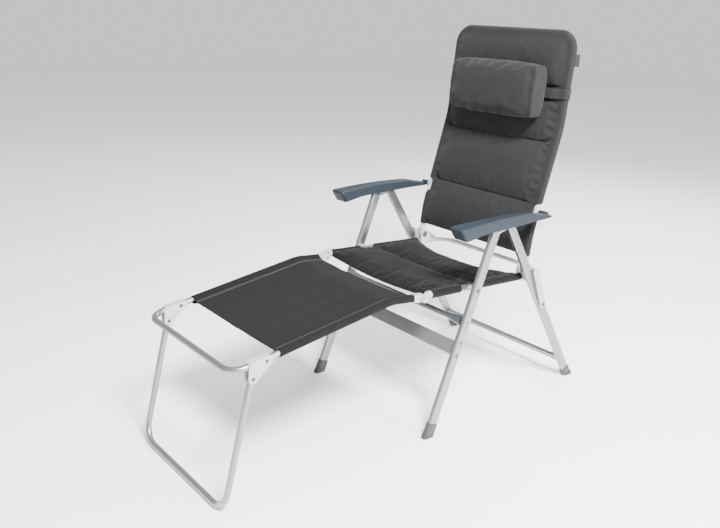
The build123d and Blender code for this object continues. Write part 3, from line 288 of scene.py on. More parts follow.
def cloth_material(name, colour, across, seams=(), thread=(0.07, 0.07, 0.075, 1), pitch=0.0012, mottle=0.12,
                   sheen=0.07, shine=0.25, edge_shade=None):
    """Woven cloth. across names the two object coordinates that run across it; seams are (coordinate, place,
    other coordinate) rows of stitches; the last argument holds the last four arguments of the function above,
    which paints shade in bands by the cloth's edges."""
    material, tree, shader = start_material(name)
    place = add_node(tree, "ShaderNodeTexCoord").outputs["Object"]
    parts = tree.nodes.new("ShaderNodeSeparateXYZ")
    tree.links.new(place, parts.inputs[0])
    joined = tree.nodes.new("ShaderNodeCombineXYZ")
    order = list(across) + [c for c in "XYZ" if c not in across]
    for socket, letter in zip(joined.inputs, order):
        tree.links.new(parts.outputs[letter], socket)
    weave = add_node(tree, "ShaderNodeGroup", node_tree=WEAVE)
    tree.links.new(joined.outputs[0], weave.inputs["Vector"])
    weave.inputs["Colour"].default_value = colour
    weave.inputs["Pitch"].default_value, weave.inputs["Mottle"].default_value = pitch, mottle
    result, height = weave.outputs["Colour"], weave.outputs["Height"]
    for letter, distance, other in seams:
        row = add_node(tree, "ShaderNodeGroup", node_tree=STITCH)
        row.inputs["Place"].default_value = distance
        tree.links.new(parts.outputs[letter], row.inputs["A"])
        tree.links.new(parts.outputs[other], row.inputs["B"])
        result = mixed(tree, row.outputs["Mask"], result, thread)
        height = maths(tree, "SUBTRACT", height, maths(tree, "MULTIPLY", row.outputs["Groove"], GROOVE_DEEP))
    # Painted shade: a dark band by the cloth's edges.
    if edge_shade:
        result = painted_shade_patch(tree, parts, result, *edge_shade)
    tree.links.new(result, shader.inputs["Base Color"])
    tree.links.new(weave.outputs["Roughness"], shader.inputs["Roughness"])
    shader.inputs["Sheen Weight"].default_value = sheen
    shader.inputs["Sheen Roughness"].default_value = SHEEN_ROUGHNESS
    shader.inputs["Specular IOR Level"].default_value = shine
    finish_bump(tree, shader, height, CLOTH_DEPTH, CLOTH_BUMP)
    return material


def hard_material(name, colour, metallic, roughness, grain, depth, spread, coat=0.0, shine=0.5):
    """Metal or plastic. roughness is its lowest and highest value, grain the scale of the fine noise,
    depth how deep that stands in metres, and spread how far the shade varies."""
    material, tree, shader = start_material(name)
    place = add_node(tree, "ShaderNodeTexCoord").outputs["Object"]
    wear = add_node(tree, "ShaderNodeGroup", node_tree=GRAIN)
    tree.links.new(place, wear.inputs["Vector"])
    wear.inputs["Colour"].default_value = colour
    for label, value in (("Grain", grain), ("Low", roughness[0]), ("High", roughness[1]), ("Spread", spread)):
        wear.inputs[label].default_value = value
    tree.links.new(wear.outputs["Colour"], shader.inputs["Base Color"])
    tree.links.new(wear.outputs["Roughness"], shader.inputs["Roughness"])
    shader.inputs["Metallic"].default_value = metallic
    shader.inputs["Coat Weight"].default_value = coat
    shader.inputs["Specular IOR Level"].default_value = shine
    finish_bump(tree, shader, wear.outputs["Height"], depth, 0.25)
    return material


# Surfaces

SLEEVE = 0.0124
TUBE_X = 0.243
PULL_WIDTH, PULL_CLEAR, PULL_FADE = 0.0055, 0.010, 0.012
COVER_COLUMNS, SLEEVE_STEPS = 79, 7


def smooth(t):
    """3 t^2 - 2 t^3, held between 0 and 1."""
    t = np.clip(t, 0, 1)
    return t * t * (3 - 2 * t)


def opening(v, low, high, margin, ramp):
    """0 below low - margin and above high + margin, and 1 once a length ramp further in."""
    return smooth((v - low + margin) / ramp) * smooth((high + margin - v) / ramp)


def bulge(t, power):
    """The square root of 1 - |2 t - 1|^power: 0 at both ends of 0 to 1, and flat in the middle."""
    return np.power(np.clip(1 - np.abs(2 * t - 1) ** power, 0, 1), 0.5)


def arch(x, half):
    """1 - (x / half)^2: 1 in the middle and 0 from half outwards."""
    return np.clip(1 - (x / half) ** 2, 0, 1)


def beside(x, place, reach):
    """1 where |x| is the place, falling to 1/e within reach of it."""
    return np.exp(-np.abs(np.abs(x) - place) / reach)


def quarter(count):
    """The sines of a quarter turn in count - 1 equal steps, without the 0 at its start."""
    return np.sin(np.linspace(0, math.pi / 2, count))[1:]


def sleeve_rim(out):
    """Half thickness of a sleeve at a distance outside its tube's line: a circle of radius SLEEVE."""
    return np.sqrt(np.maximum(SLEEVE ** 2 - np.maximum(out, 0) ** 2, 0))


def ripple(a, b, seed, scale):
    """Smooth seeded noise, mostly between -1 and 1: a sum of sine waves with random directions and phases,
    whose lengths lie round scale."""
    count = 12
    rng = np.random.default_rng(seed)
    angles, phases = rng.uniform(0, math.pi, count), rng.uniform(0, 2 * math.pi, count)
    rates = 2 * math.pi / scale * rng.uniform(0.6, 1.6, count)
    total = sum(np.sin(rate * (a * math.cos(t) + b * math.sin(t)) + phase)
                for t, phase, rate in zip(angles, phases, rates))
    return total / (count / 2)


def crease(a, b, line, width):
    """1 on a line between two points, falling off as a bell of the given width, and softer at its first end."""
    start_a, start_b, stop_a, stop_b = line
    run_a, run_b = stop_a - start_a, stop_b - start_b
    t = ((a - start_a) * run_a + (b - start_b) * run_b) / math.hypot(run_a, run_b) ** 2
    near = np.clip(t, 0, 1)
    away = np.hypot(a - start_a - near * run_a, b - start_b - near * run_b)
    return np.exp(-(away / width) ** 2) * smooth(near / 0.4 + 0.3)


def gathered(height, a, b, out, lines, depth):
    """The height less the gathered folds along the lines, which fade out before they reach the tube."""
    fade = smooth((-out - PULL_CLEAR) / PULL_FADE)
    for line in lines:
        height = height - depth * crease(a, b, line, PULL_WIDTH) * fade
    return height


def puckers(x, v, into, near, layers, side):
    """Seeded noise in three layers of (seed, scale, height): puckers across the seams, where near is 1, puckers
    along the sleeves, whose place and reach are side, and a slow wave. into is 1 over the panels."""
    seams, sleeves, wave = layers
    total = ripple(x, v * 0.25, *seams[:2]) * near * seams[2] * into
    total += ripple(x * 0.3, v, *sleeves[:2]) * beside(x, *side) * sleeves[2] * (into > 0)
    total += ripple(x, v, *wave[:2]) * wave[2] * into
    return total


def cover_columns(centre, reach):
    """The x of each row's points: even as far as the tube's line, and then crowding towards the outer edge,
    which is a distance reach further out."""
    right = centre[:, None] + np.reshape(reach, (-1, 1)) * quarter(SLEEVE_STEPS)
    middle = centre[:, None] * np.linspace(-1, 1, COVER_COLUMNS)
    return np.concatenate([-right[:, ::-1], middle, right], 1)


def new_piece(name, points, quads):
    """An object from an array of points and an array of quads; doubled points are joined."""
    mesh = bpy.data.meshes.new(name)
    mesh.vertices.add(len(points))
    mesh.vertices.foreach_set("co", np.asarray(points, np.float32).ravel())
    mesh.loops.add(quads.size)
    mesh.loops.foreach_set("vertex_index", quads.astype(np.int32).ravel())
    mesh.polygons.add(len(quads))
    mesh.polygons.foreach_set("loop_start", np.arange(0, quads.size, 4, dtype=np.int32))
    mesh.update(calc_edges=True)
    mesh.validate()
    shape = bmesh.new()
    shape.from_mesh(mesh)
    bmesh.ops.remove_doubles(shape, verts=shape.verts, dist=0.0002)
    bmesh.ops.dissolve_degenerate(shape, edges=shape.edges, dist=0.00005)
    bmesh.ops.recalc_face_normals(shape, faces=shape.faces)
    shape.to_mesh(mesh)
    shape.free()
    mesh.shade_smooth()
    piece = bpy.data.objects.new(name, mesh)
    scene.collection.objects.link(piece)
    return piece


def index_quads(index):
    """The quads between the neighbours of a grid of point numbers."""
    return np.stack([index[:-1, :-1], index[:-1, 1:], index[1:, 1:], index[1:, :-1]], -1).reshape(-1, 4)


def grid_quads(rows, columns, closed=False):
    """The quads of a grid of points; closed joins its last column to its first."""
    index = np.arange(rows * columns).reshape(rows, columns)
    if closed:
        index = np.concatenate([index, index[:, :1]], 1)
    return index_quads(index)


def closed_shell(name, front, rear):
    """A closed piece between two grids of points of one size, joined round their edges."""
    rows, columns = front.shape[:2]
    count = rows * columns
    index = np.arange(count).reshape(rows, columns)
    face = index_quads(index)
    ring = np.concatenate([index[0, :-1], index[:-1, -1], index[-1, :0:-1], index[:0:-1, 0]])
    after = np.roll(ring, -1)
    rim = np.stack([ring, ring + count, after + count, after], -1)
    points = np.concatenate([front.reshape(-1, 3), rear.reshape(-1, 3)])
    return new_piece(name, points, np.concatenate([face, face[:, ::-1] + count, rim]))


def thicken(piece, thickness, offset):
    thick = piece.modifiers.new("thickness", "SOLIDIFY")
    thick.thickness, thick.offset = thickness, offset


def subdivide(piece):
    modifier = piece.modifiers.new("subdivision", "SUBSURF")
    modifier.levels = modifier.render_levels = 1


def inflate(piece, held, pressure, cap, slack):
    """Fills the piece by a cloth simulation. held marks the points sewn down, no point moves further than cap,
    and slack is the share by which the cloth is larger than its mesh."""
    before = np.zeros(len(piece.data.vertices) * 3, np.float32)
    piece.data.vertices.foreach_get("co", before)
    before = before.reshape(-1, 3).astype(float)
    group = piece.vertex_groups.new(name="held")
    group.add([int(i) for i in np.nonzero(held(before))[0]], 1.0, "REPLACE")
    cloth = piece.modifiers.new("cloth", "CLOTH")
    settings = cloth.settings
    settings.quality, settings.mass, settings.air_damping = 6, 0.15, 3
    settings.tension_stiffness = settings.compression_stiffness = 25
    settings.shear_stiffness, settings.bending_stiffness = 12, 0.4
    settings.use_pressure, settings.uniform_pressure_force = True, pressure
    settings.vertex_group_mass, settings.shrink_min = "held", -slack
    settings.effector_weights.gravity = 0
    cloth.collision_settings.use_self_collision = False
    cloth.collision_settings.use_collision = False
    for number in range(1, 21):
        scene.frame_set(number)
    shown = piece.evaluated_get(bpy.context.evaluated_depsgraph_get()).to_mesh()
    after = np.zeros(before.size, np.float32)
    shown.vertices.foreach_get("co", after)
    piece.modifiers.remove(cloth)
    scene.frame_set(1)
    move = after.reshape(-1, 3) - before
    length = np.linalg.norm(move, axis=1, keepdims=True)
    final = before + move * np.minimum(1, cap / np.maximum(length, 1e-9))
    piece.data.vertices.foreach_set("co", np.asarray(final, np.float32).ravel())
    piece.data.update()


# Back cover

TOP_Z = 1.1905
CORNER_X, CORNER_Z, CORNER_RADIUS = 0.191, 1.1385, 0.052
BACK_Z = np.array([0.4530, 0.5650, 0.9000, TOP_Z, 1.30])
BACK_Y = np.array([0.4355, 0.4505, 0.5545, 0.5850, 0.5965])
CHANNELS = np.array([0.494, 0.663, 0.855, 1.030, 1.196])
PANEL_EDGE, PANEL_PUFF, PANEL_POWER, REAR_DIP = 0.0050, 0.0155, 3.6, 0.0025
BACK_BLEND = 0.048
LAP_DEPTH, LAP_HEIGHT = 0.0055, 0.030
HEM_HEIGHT, HEM_SHARE = 0.030, 0.45
STRAP = (0.992, 1.024)
STRAP_MIDDLE, STRAP_DEPTH = 1.008, 0.0222
SQUEEZE_HALF, SQUEEZE_SHARE = 0.014, 0.25
CUT_LOW, CUT_HIGH, CUT_DEPTH = 0.616, 0.660, 0.017
CUT_RAMP = 0.010
PULLS = [(0.196, 0.856, 0.236, 0.869), (0.196, 0.854, 0.234, 0.833), (0.208, 0.824, 0.237, 0.815),
         (0.200, 0.783, 0.237, 0.776), (0.190, 0.752, 0.236, 0.757), (0.203, 0.728, 0.237, 0.722),
         (0.188, 0.702, 0.237, 0.695), (0.205, 0.684, 0.238, 0.680), (0.205, 0.982, 0.238, 0.970),
         (0.196, 0.955, 0.236, 0.946), (0.206, 0.925, 0.237, 0.918), (0.198, 0.897, 0.236, 0.890),
         (-0.200, 0.664, -0.228, 0.692), (-0.204, 0.663, -0.234, 0.673), (-0.212, 0.705, -0.236, 0.712),
         (-0.205, 0.856, -0.237, 0.866), (-0.208, 0.790, -0.236, 0.784), (-0.205, 0.945, -0.237, 0.937)]
PULL_DEPTH = 0.0065
PANEL_ROWS = 30
BACK_NOISE = ((5, 0.034, 0.0014), (9, 0.040, 0.0012), (3, 0.16, 0.0012))
BACK_SIDE, BACK_SEAM_REACH = (0.222, 0.018), 0.022
REAR_PUCKER = 0.4
BACK_SEWN_SLEEVE, BACK_SEWN_SEAM, BACK_SEWN_EDGE = 0.020, 0.0030, 0.006


def back_y(z):
    """Depth of the back tube at height z: the straight runs averaged over 5 cm, which rounds the two bends."""
    steps = np.linspace(-0.025, 0.025, 11)
    return np.mean([np.interp(z + s, BACK_Z, BACK_Y) for s in steps], axis=0)


def back_cut(z):
    """0 to 1: how far the cut-out for the armrest's boss has opened at height z."""
    return opening(z, CUT_LOW, CUT_HIGH, CUT_RAMP / 2, CUT_RAMP)


def back_contour(x, z):
    """Distance outside the tube's centre line in the front view, minus inside, plus outside.
    The two cut-outs for the armrests' bosses move the line in."""
    side = np.abs(x) - TUBE_X + CUT_DEPTH * back_cut(z)
    corner = np.hypot(np.maximum(np.abs(x) - CORNER_X, 0), np.maximum(z - CORNER_Z, 0)) - CORNER_RADIUS
    return np.where((np.abs(x) > CORNER_X) & (z > CORNER_Z), corner, np.maximum(side, z - TOP_Z))


def back_edge(z, reach):
    """Half width in the front view at height z, a distance reach outside the tube's line."""
    radius = CORNER_RADIUS + reach
    rise = np.clip(z - CORNER_Z, 0, radius)
    half = np.where(z > CORNER_Z, CORNER_X + np.sqrt(radius ** 2 - rise ** 2), TUBE_X + reach)
    return half - CUT_DEPTH * back_cut(z)


def back_depths(x, z):
    """How far the cover stands in front of the tube's middle, and behind it: each panel between two channels
    is a bulge, squeezed at the strap and thinned to a hem at the bottom, with puckers along its seams."""
    out = back_contour(x, z)
    rim = sleeve_rim(out)
    into = smooth(-out / BACK_BLEND)
    panel = np.clip(np.searchsorted(CHANNELS, z, side="right") - 1, 0, len(CHANNELS) - 2)
    t = (z - CHANNELS[panel]) / (CHANNELS[panel + 1] - CHANNELS[panel])
    squeeze = smooth((np.abs(z - STRAP_MIDDLE) - SQUEEZE_HALF) / SQUEEZE_HALF)
    dome = bulge(t, PANEL_POWER) * (SQUEEZE_SHARE + (1 - SQUEEZE_SHARE) * squeeze)
    hem = HEM_SHARE + (1 - HEM_SHARE) * np.maximum(smooth((z - CHANNELS[0]) / HEM_HEIGHT), 1 - into)
    front = (SLEEVE + into * (PANEL_EDGE + PANEL_PUFF * dome - SLEEVE)) * hem
    rear = (SLEEVE - into * (REAR_DIP - REAR_DIP * dome)) * hem
    near = np.exp(-np.min([np.abs(z - c) for c in CHANNELS], axis=0) / BACK_SEAM_REACH)
    pucker = puckers(x, z, into, near, BACK_NOISE, BACK_SIDE)
    pucker = gathered(pucker, x, z, out, PULLS, PULL_DEPTH)
    return np.where(out >= 0, rim, front) + pucker, np.where(out >= 0, rim, rear + REAR_PUCKER * pucker)


def make_back_cover():
    """Two grids over the front view: rows that crowd towards the channels, and columns that end in the
    sleeve's curve. Above each channel the front cloth laps down over it."""
    even = np.linspace(0, 1, PANEL_ROWS + 1)[:-1]
    eased = 0.45 * even + 0.55 * (0.5 - 0.5 * np.cos(math.pi * even))
    tops = np.append(CHANNELS[1:4], TOP_Z)
    body = np.concatenate([low + (high - low) * eased for low, high in zip(CHANNELS, tops)])
    z = np.concatenate([body, [TOP_Z], TOP_Z + SLEEVE * quarter(SLEEVE_STEPS)])
    centre = back_edge(z, 0)
    x = cover_columns(centre, back_edge(z, SLEEVE) - centre)
    zz = np.repeat(z[:, None], x.shape[1], 1)
    ahead, behind = back_depths(x, zz)
    above = np.min([np.where(zz > c, zz - c, 1) for c in CHANNELS[1:4]], axis=0)
    lap = LAP_DEPTH * np.sin(math.pi * np.clip(above / LAP_HEIGHT, 0, 1))
    lap = lap * smooth(-back_contour(x, zz) / BACK_BLEND)
    front = np.stack([x, back_y(zz) - ahead, zz - lap], -1)
    rear = np.stack([x, back_y(zz) + behind, zz], -1)
    cover = closed_shell("back_cover_cloth", front, rear)

    def held(p):
        sleeve = back_contour(p[:, 0], p[:, 2]) > -BACK_SEWN_SLEEVE
        seam = np.min([np.abs(p[:, 2] - c) for c in CHANNELS], axis=0) < BACK_SEWN_SEAM
        squeezed = (p[:, 2] > STRAP[0] - BACK_SEWN_EDGE) & (p[:, 2] < STRAP[1] + BACK_SEWN_EDGE)
        hem = p[:, 2] < CHANNELS[0] + BACK_SEWN_EDGE
        return sleeve | seam | squeezed | hem

    inflate(cover, held, pressure=4.0, cap=0.007, slack=0.007)
    subdivide(cover)
    return cover


# Seat cushion

SEAT_PIVOT_Y, SEAT_PIVOT_Z = 0.16389, 0.4455
SEAT_DROP = 0.0746
SEAT_SEAM, SEAM_BOW = 0.204, 0.004
SEAT_FRONT, SEAT_REAR = 0.0036, 0.417
FRONT_BOW, REAR_BOW = 0.001, 0.038
SEAT_CUT_HALF, SEAT_CUT_RAMP, SEAT_CUT_DEPTH = 0.033, 0.012, 0.030
SEAT_EDGE, SEAT_PUFF, SEAT_POWER, SEAT_BLEND = 0.0045, 0.0115, 3.0, 0.060
LIP_REACH, LIP_SHARE = 0.010, 0.14
SEAT_SAG, FRONT_SAG, FRONT_SAG_REACH = 0.013, 0.009, 0.07
SEAT_PULLS = [(0.190, 0.206, 0.236, 0.214), (0.196, 0.203, 0.236, 0.186), (0.200, 0.120, 0.237, 0.112),
              (0.190, 0.040, 0.236, 0.052), (0.182, 0.022, 0.232, 0.030), (0.200, 0.255, 0.236, 0.262),
              (0.205, 0.330, 0.237, 0.322), (-0.190, 0.206, -0.236, 0.216), (-0.200, 0.110, -0.237, 0.120),
              (-0.186, 0.030, -0.235, 0.040), (-0.205, 0.280, -0.237, 0.288)]
SEAT_PULL_DEPTH = 0.0055
SEAT_ROWS = 74
SEAT_NOISE = ((21, 0.034, 0.0014), (23, 0.045, 0.0014), (25, 0.15, 0.0010))
SEAT_SIDE, SEAT_SEAM_REACH = (0.224, 0.02), 0.020
SEAT_SEWN_SLEEVE, SEAT_SEWN_SEAM, SEAT_SEWN_EDGE = 0.018, 0.0032, 0.004


def seat_z(y):
    """Height of the side tubes' middle."""
    return SEAT_PIVOT_Z - SEAT_DROP * (y - SEAT_PIVOT_Y)


def seat_ends(bow):
    """Front and rear edges; bow is 0 at the side tubes and 1 in the middle."""
    return SEAT_FRONT - FRONT_BOW * bow, SEAT_REAR - REAR_BOW * bow


def seat_cut(y):
    """0 to 1: how far the cut-out for the side pivot has opened at depth y."""
    return opening(y, SEAT_PIVOT_Y, SEAT_PIVOT_Y, SEAT_CUT_HALF, SEAT_CUT_RAMP)


def seat_side(x, y):
    """Distance outside the side tube's line, which the side pivot's cut-out moves in."""
    return np.abs(x) - TUBE_X + SEAT_CUT_DEPTH * seat_cut(y)


def seat_heights(x, y):
    """Top and bottom of the cushion above the tubes' line: two panels that bulge between their seams, thin out
    to the front and rear lips, and sag in the middle."""
    out = seat_side(x, y)
    rim = sleeve_rim(out)
    into = smooth(-out / SEAT_BLEND)
    bow = arch(x, TUBE_X)
    low, high = seat_ends(bow)
    seam = SEAT_SEAM + SEAM_BOW * bow
    t = np.where(y < seam, (y - low) / (seam - low), (y - seam) / (high - seam))
    edge = np.minimum(y - low, high - y)
    lip = np.clip(edge / LIP_REACH, 0, 1)
    half = SLEEVE + into * (SEAT_EDGE + SEAT_PUFF * bulge(t, SEAT_POWER) - SLEEVE)
    half = half * np.sqrt(lip * (2 - lip) * (1 - LIP_SHARE) + LIP_SHARE)
    sag = SEAT_SAG * bow ** 0.7 + FRONT_SAG * bow * np.exp(-np.maximum(y, 0) / FRONT_SAG_REACH)
    near = np.exp(-np.minimum(np.abs(y - seam), edge) / SEAT_SEAM_REACH)
    pucker = puckers(x, y, into, near, SEAT_NOISE, SEAT_SIDE)
    pucker = gathered(pucker, x, y, out, SEAT_PULLS, SEAT_PULL_DEPTH)
    return np.where(out >= 0, rim, half + pucker) - sag, -np.where(out >= 0, rim, half) - sag


def make_seat():
    """Two grids over the plan: rows from the front edge to the rear one, and columns that end in the sleeve's
    curve."""
    v = np.linspace(0, 1, SEAT_ROWS)
    centre = TUBE_X - SEAT_CUT_DEPTH * seat_cut(SEAT_FRONT + v * (SEAT_REAR - SEAT_FRONT))
    x = cover_columns(centre, SLEEVE)
    low, high = seat_ends(arch(x, TUBE_X))
    y = low + v[:, None] * (high - low)
    top, bottom = seat_heights(x, y)
    seat = closed_shell("seat_cushion_cloth", np.stack([x, y, seat_z(y) + top], -1),
                        np.stack([x, y, seat_z(y) + bottom], -1))

    def held(p):
        bow = arch(p[:, 0], TUBE_X)
        seam = np.abs(p[:, 1] - SEAT_SEAM - SEAM_BOW * bow) < SEAT_SEWN_SEAM
        low, high = seat_ends(bow)
        edge = np.minimum(p[:, 1] - low, high - p[:, 1]) < SEAT_SEWN_EDGE
        return (seat_side(p[:, 0], p[:, 1]) > -SEAT_SEWN_SLEEVE) | seam | edge

    inflate(seat, held, pressure=3.5, cap=0.005, slack=0.009)
    subdivide(seat)
    return seat


# Footrest sling

REST_Y = np.array([-0.667, -0.140, -0.037])
REST_Z = np.array([0.397, 0.4665, 0.454])
REST_X, SLING_RADIUS = 0.232, 0.0108
HEM_X, HEM_DROP = 0.204, 0.0028
SLING_FRONT, SLING_REAR, SLING_FLAT_LENGTH = -0.528, -0.0585, 0.472
SLING_SAG, SLING_END_SAG, SLING_THICKNESS = 0.009, 0.75, 0.0014
SLING_ROWS = 84
HEM_RUN, EDGE_RUN, CLOTH_HALF = 0.024, 0.030, 0.0006
FRONT_END_BOW, REAR_END_BOW = -0.006, 0.001


def rest_z(y):
    """Height of the footrest tube's middle: two straight runs averaged over 4 cm at the knee."""
    steps = np.linspace(-0.020, 0.020, 9)
    return np.mean([np.interp(y + s, REST_Y, REST_Z) for s in steps], axis=0)


def mirrored(half, sign=1):
    """A row from one edge to the middle, carried on to the other edge; sign is the first half's."""
    return np.concatenate([sign * half, half[-2::-1]])


def make_sling():
    """One sheet: a hem under one edge, round its tube, across, round the other tube, and a hem there."""
    turn = np.linspace(-math.pi / 2, math.pi / 2, 9)
    hem_x, across = np.linspace(HEM_X, REST_X, 6)[:-1], np.linspace(REST_X, 0, 34)[1:]
    hem_z = -HEM_DROP - (SLING_RADIUS - HEM_DROP) * smooth((hem_x - HEM_X) / HEM_RUN)
    drop = SLING_RADIUS * (1 - smooth((REST_X - across) / EDGE_RUN)) + CLOTH_HALF
    section_x = mirrored(np.concatenate([hem_x, REST_X + SLING_RADIUS * np.cos(turn), across]), -1)
    section_z = mirrored(np.concatenate([hem_z, SLING_RADIUS * np.sin(turn), drop]))
    shown = mirrored(np.concatenate([np.zeros(len(hem_x)), np.ones(len(turn) + len(across))]))
    y = np.linspace(SLING_FRONT, SLING_REAR, SLING_ROWS)
    xx, yy = np.meshgrid(section_x, y)
    bow = arch(xx, REST_X)
    v = (yy - SLING_FRONT) / (SLING_REAR - SLING_FRONT)
    sag = SLING_SAG * bow * (SLING_END_SAG + (1 - SLING_END_SAG) * np.sin(math.pi * v))
    folds = ripple(xx, yy * 0.35, seed=31, scale=0.11) * 0.0011 * bow
    folds += ripple(xx * 0.3, yy, seed=33, scale=0.05) * 0.0008 * beside(xx, 0.214, 0.012)
    zz = rest_z(yy) + section_z - sag + folds * shown
    ends = np.where(v > 0.5, REAR_END_BOW, FRONT_END_BOW) * bow * np.abs(2 * v - 1) ** 6
    points = np.stack([xx, yy - ends, zz], -1)
    sling = new_piece("footrest_sling_cloth", points.reshape(-1, 3), grid_quads(*xx.shape))
    thicken(sling, SLING_THICKNESS, 0)
    width = np.hypot(np.diff(section_x), np.diff(section_z)).sum()
    return sling, (round(float(width), 3), SLING_FLAT_LENGTH)


# Pillow, strap, tag

PILLOW_HALF, PILLOW_LOW, PILLOW_HIGH, PILLOW_DEPTH = 0.181, 0.925, 1.100, 0.070
PILLOW_BACK, PILLOW_POWER, PILLOW_END = 0.0262, 0.42, 0.94
END_FALL, ROUND_FALL, FRONT_FULL, DEPTH_FALL, DEPTH_SHARE = 0.10, 0.10, 0.10, 0.10, 0.96
PILLOW_SEWN_END, PILLOW_SEWN_BACK = 0.010, 0.034
PANEL_BULGE, PANEL_CRINKLE = 0.004, 0.0016
PIPE_ROW, PIPE_RADIUS, PIPE_SPREAD, PIPE_OUT = 5, 0.0018, 1.004, 0.0008
STRAP_LIFT, STRAP_THICKNESS = 0.0016, 0.0012
TAG_THICKNESS, TAG_CURL, TAG_WAVE = 0.0009, 0.0022, 0.0008
TAG_TUCK, TAG_GROWTH = 0.002, 0.001


def signed_power(value, power):
    return np.sign(value) * np.abs(value) ** power


def make_pillow():
    """A boxy cushion: sections along X whose two coordinates are the cosine and sine of a turn to the power
    PILLOW_POWER. plump lowers them towards the ends and full rounds the front; each end has a flat panel and
    a piping."""
    ends = PILLOW_END + (1 - PILLOW_END) * quarter(8)
    stations = np.concatenate([np.linspace(0, PILLOW_END, 46), ends])
    stations = np.concatenate([-stations[:0:-1], stations])
    fan = np.linspace(0, 2 * math.pi, 97)[:-1]
    s, a = np.meshgrid(stations, fan, indexing="ij")
    b, c = signed_power(np.cos(a), PILLOW_POWER), signed_power(np.sin(a), PILLOW_POWER)
    end = np.clip((np.abs(s) - PILLOW_END) / (1 - PILLOW_END), 0, 1)
    plump = 1 - END_FALL * np.abs(s) ** 3 - ROUND_FALL * (1 - np.sqrt(np.clip(1 - end ** 2, 0, 1)))
    x = PILLOW_HALF * s + 0.0012 * ripple(b, c, seed=43, scale=1.4)
    z = (PILLOW_LOW + PILLOW_HIGH) / 2 + (PILLOW_HIGH - PILLOW_LOW) / 2 * c * plump
    full = 1 + FRONT_FULL * (1 - s ** 2) * np.clip(1 - c ** 2, 0, 1)
    ahead = np.clip(0.5 - 0.5 * b, 0, 1)
    y = back_y(z) - PILLOW_BACK - PILLOW_DEPTH * ahead * (1 - DEPTH_FALL * s ** 2) * full * DEPTH_SHARE
    y += 0.0018 * ripple(s * PILLOW_HALF, z, seed=41, scale=0.07) * ahead
    sections = np.stack([x, y, z], -1)
    points = sections.reshape(-1, 3)
    quads = grid_quads(len(stations), len(fan), closed=True)
    shares = np.linspace(1, 0, 12)[1:-1]
    for ring, way in ((sections[0], -1), (sections[-1], 1)):
        centre = ring.mean(0)
        inner = centre + (ring - centre) * shares[:, None, None]
        inner[..., 0] += way * PANEL_BULGE * (1 - shares[:, None] ** 2)
        crinkle = ripple(inner[..., 1], inner[..., 2], seed=47, scale=0.035)
        inner[..., 0] += PANEL_CRINKLE * crinkle * (1 - shares[:, None] ** 4)
        middle = np.repeat((centre + [way * PANEL_BULGE, 0, 0])[None, None], len(fan), 1)
        panel = np.concatenate([ring[None], inner, middle])
        face = grid_quads(*panel.shape[:2], closed=True) + len(points)
        points = np.concatenate([points, panel.reshape(-1, 3)])
        quads = np.concatenate([quads, face[:, ::way]])
    pillow = new_piece("head_pillow_cloth", points, quads)

    def held(p):
        tip = np.abs(p[:, 0]) > PILLOW_HALF - PILLOW_SEWN_END
        return tip | (p[:, 1] > back_y(p[:, 2]) - PILLOW_SEWN_BACK)

    inflate(pillow, held, pressure=2.5, cap=0.006, slack=0.012)
    subdivide(pillow)
    pipes = []
    for side, row, way in (("right", PIPE_ROW, -1), ("left", -1 - PIPE_ROW, 1)):
        centre = sections[row].mean(0)
        path = centre + (sections[row] - centre) * PIPE_SPREAD + [way * PIPE_OUT, 0, 0]
        pipes.append(tube_loop("pillow_piping_" + side, path, PIPE_RADIUS))
    return pillow, pipes


def tube_loop(name, path, radius, sides=8):
    """A closed round cord along a loop of points, from its tangent and a second direction across it."""
    ahead = np.roll(path, -1, 0) - np.roll(path, 1, 0)
    ahead /= np.linalg.norm(ahead, axis=1, keepdims=True)
    one = np.cross(ahead, [1.0, 0, 0])
    one /= np.linalg.norm(one, axis=1, keepdims=True)
    two = np.cross(ahead, one)
    fan = np.linspace(0, 2 * math.pi, sides + 1)[:-1, None]
    ring = path[:, None] + radius * (np.cos(fan) * one[:, None] + np.sin(fan) * two[:, None])
    index = np.arange(len(path) * sides).reshape(len(path), sides)
    index = np.concatenate([index, index[:1]], 0)
    index = np.concatenate([index, index[:, :1]], 1)
    return new_piece(name, ring.reshape(-1, 3), index_quads(index))


def make_strap():
    """A band round the cover, level with its puffed panels so that it slides over them. At each height its
    outline is moved out by STRAP_LIFT."""
    z = np.linspace(STRAP[0], STRAP[1], 9)
    edge = quarter(8)
    right = TUBE_X + SLEEVE * edge
    x = np.concatenate([-right[::-1], TUBE_X * np.linspace(-1, 1, 49), right])
    zz, xx = np.meshgrid(z, x, indexing="ij")
    out = back_contour(xx, zz)
    rim = sleeve_rim(out)
    ahead = np.where(out >= 0, rim, SLEEVE + smooth(-out / BACK_BLEND) * (STRAP_DEPTH - SLEEVE))
    front = np.stack([xx, back_y(zz) - ahead, zz], -1)
    rear = np.stack([xx, back_y(zz) + np.where(out >= 0, rim, SLEEVE), zz], -1)[:, ::-1]
    loop = np.concatenate([front, rear[:, 1:-1]], 1)
    step = np.roll(loop, -1, 1) - np.roll(loop, 1, 1)
    away = np.stack([step[..., 1], -step[..., 0], np.zeros_like(step[..., 0])], -1)
    away /= np.maximum(np.linalg.norm(away, axis=-1, keepdims=True), 1e-9)
    loop = loop + away * STRAP_LIFT
    strap = new_piece("pillow_strap_web", loop.reshape(-1, 3), grid_quads(*loop.shape[:2], closed=True))
    thicken(strap, STRAP_THICKNESS, 1)
    middle = loop[len(z) // 2]
    length = np.linalg.norm(np.roll(middle, -1, 0) - middle, axis=1).sum()
    return strap, (round(float(length), 3), round(STRAP[1] - STRAP[0], 3))


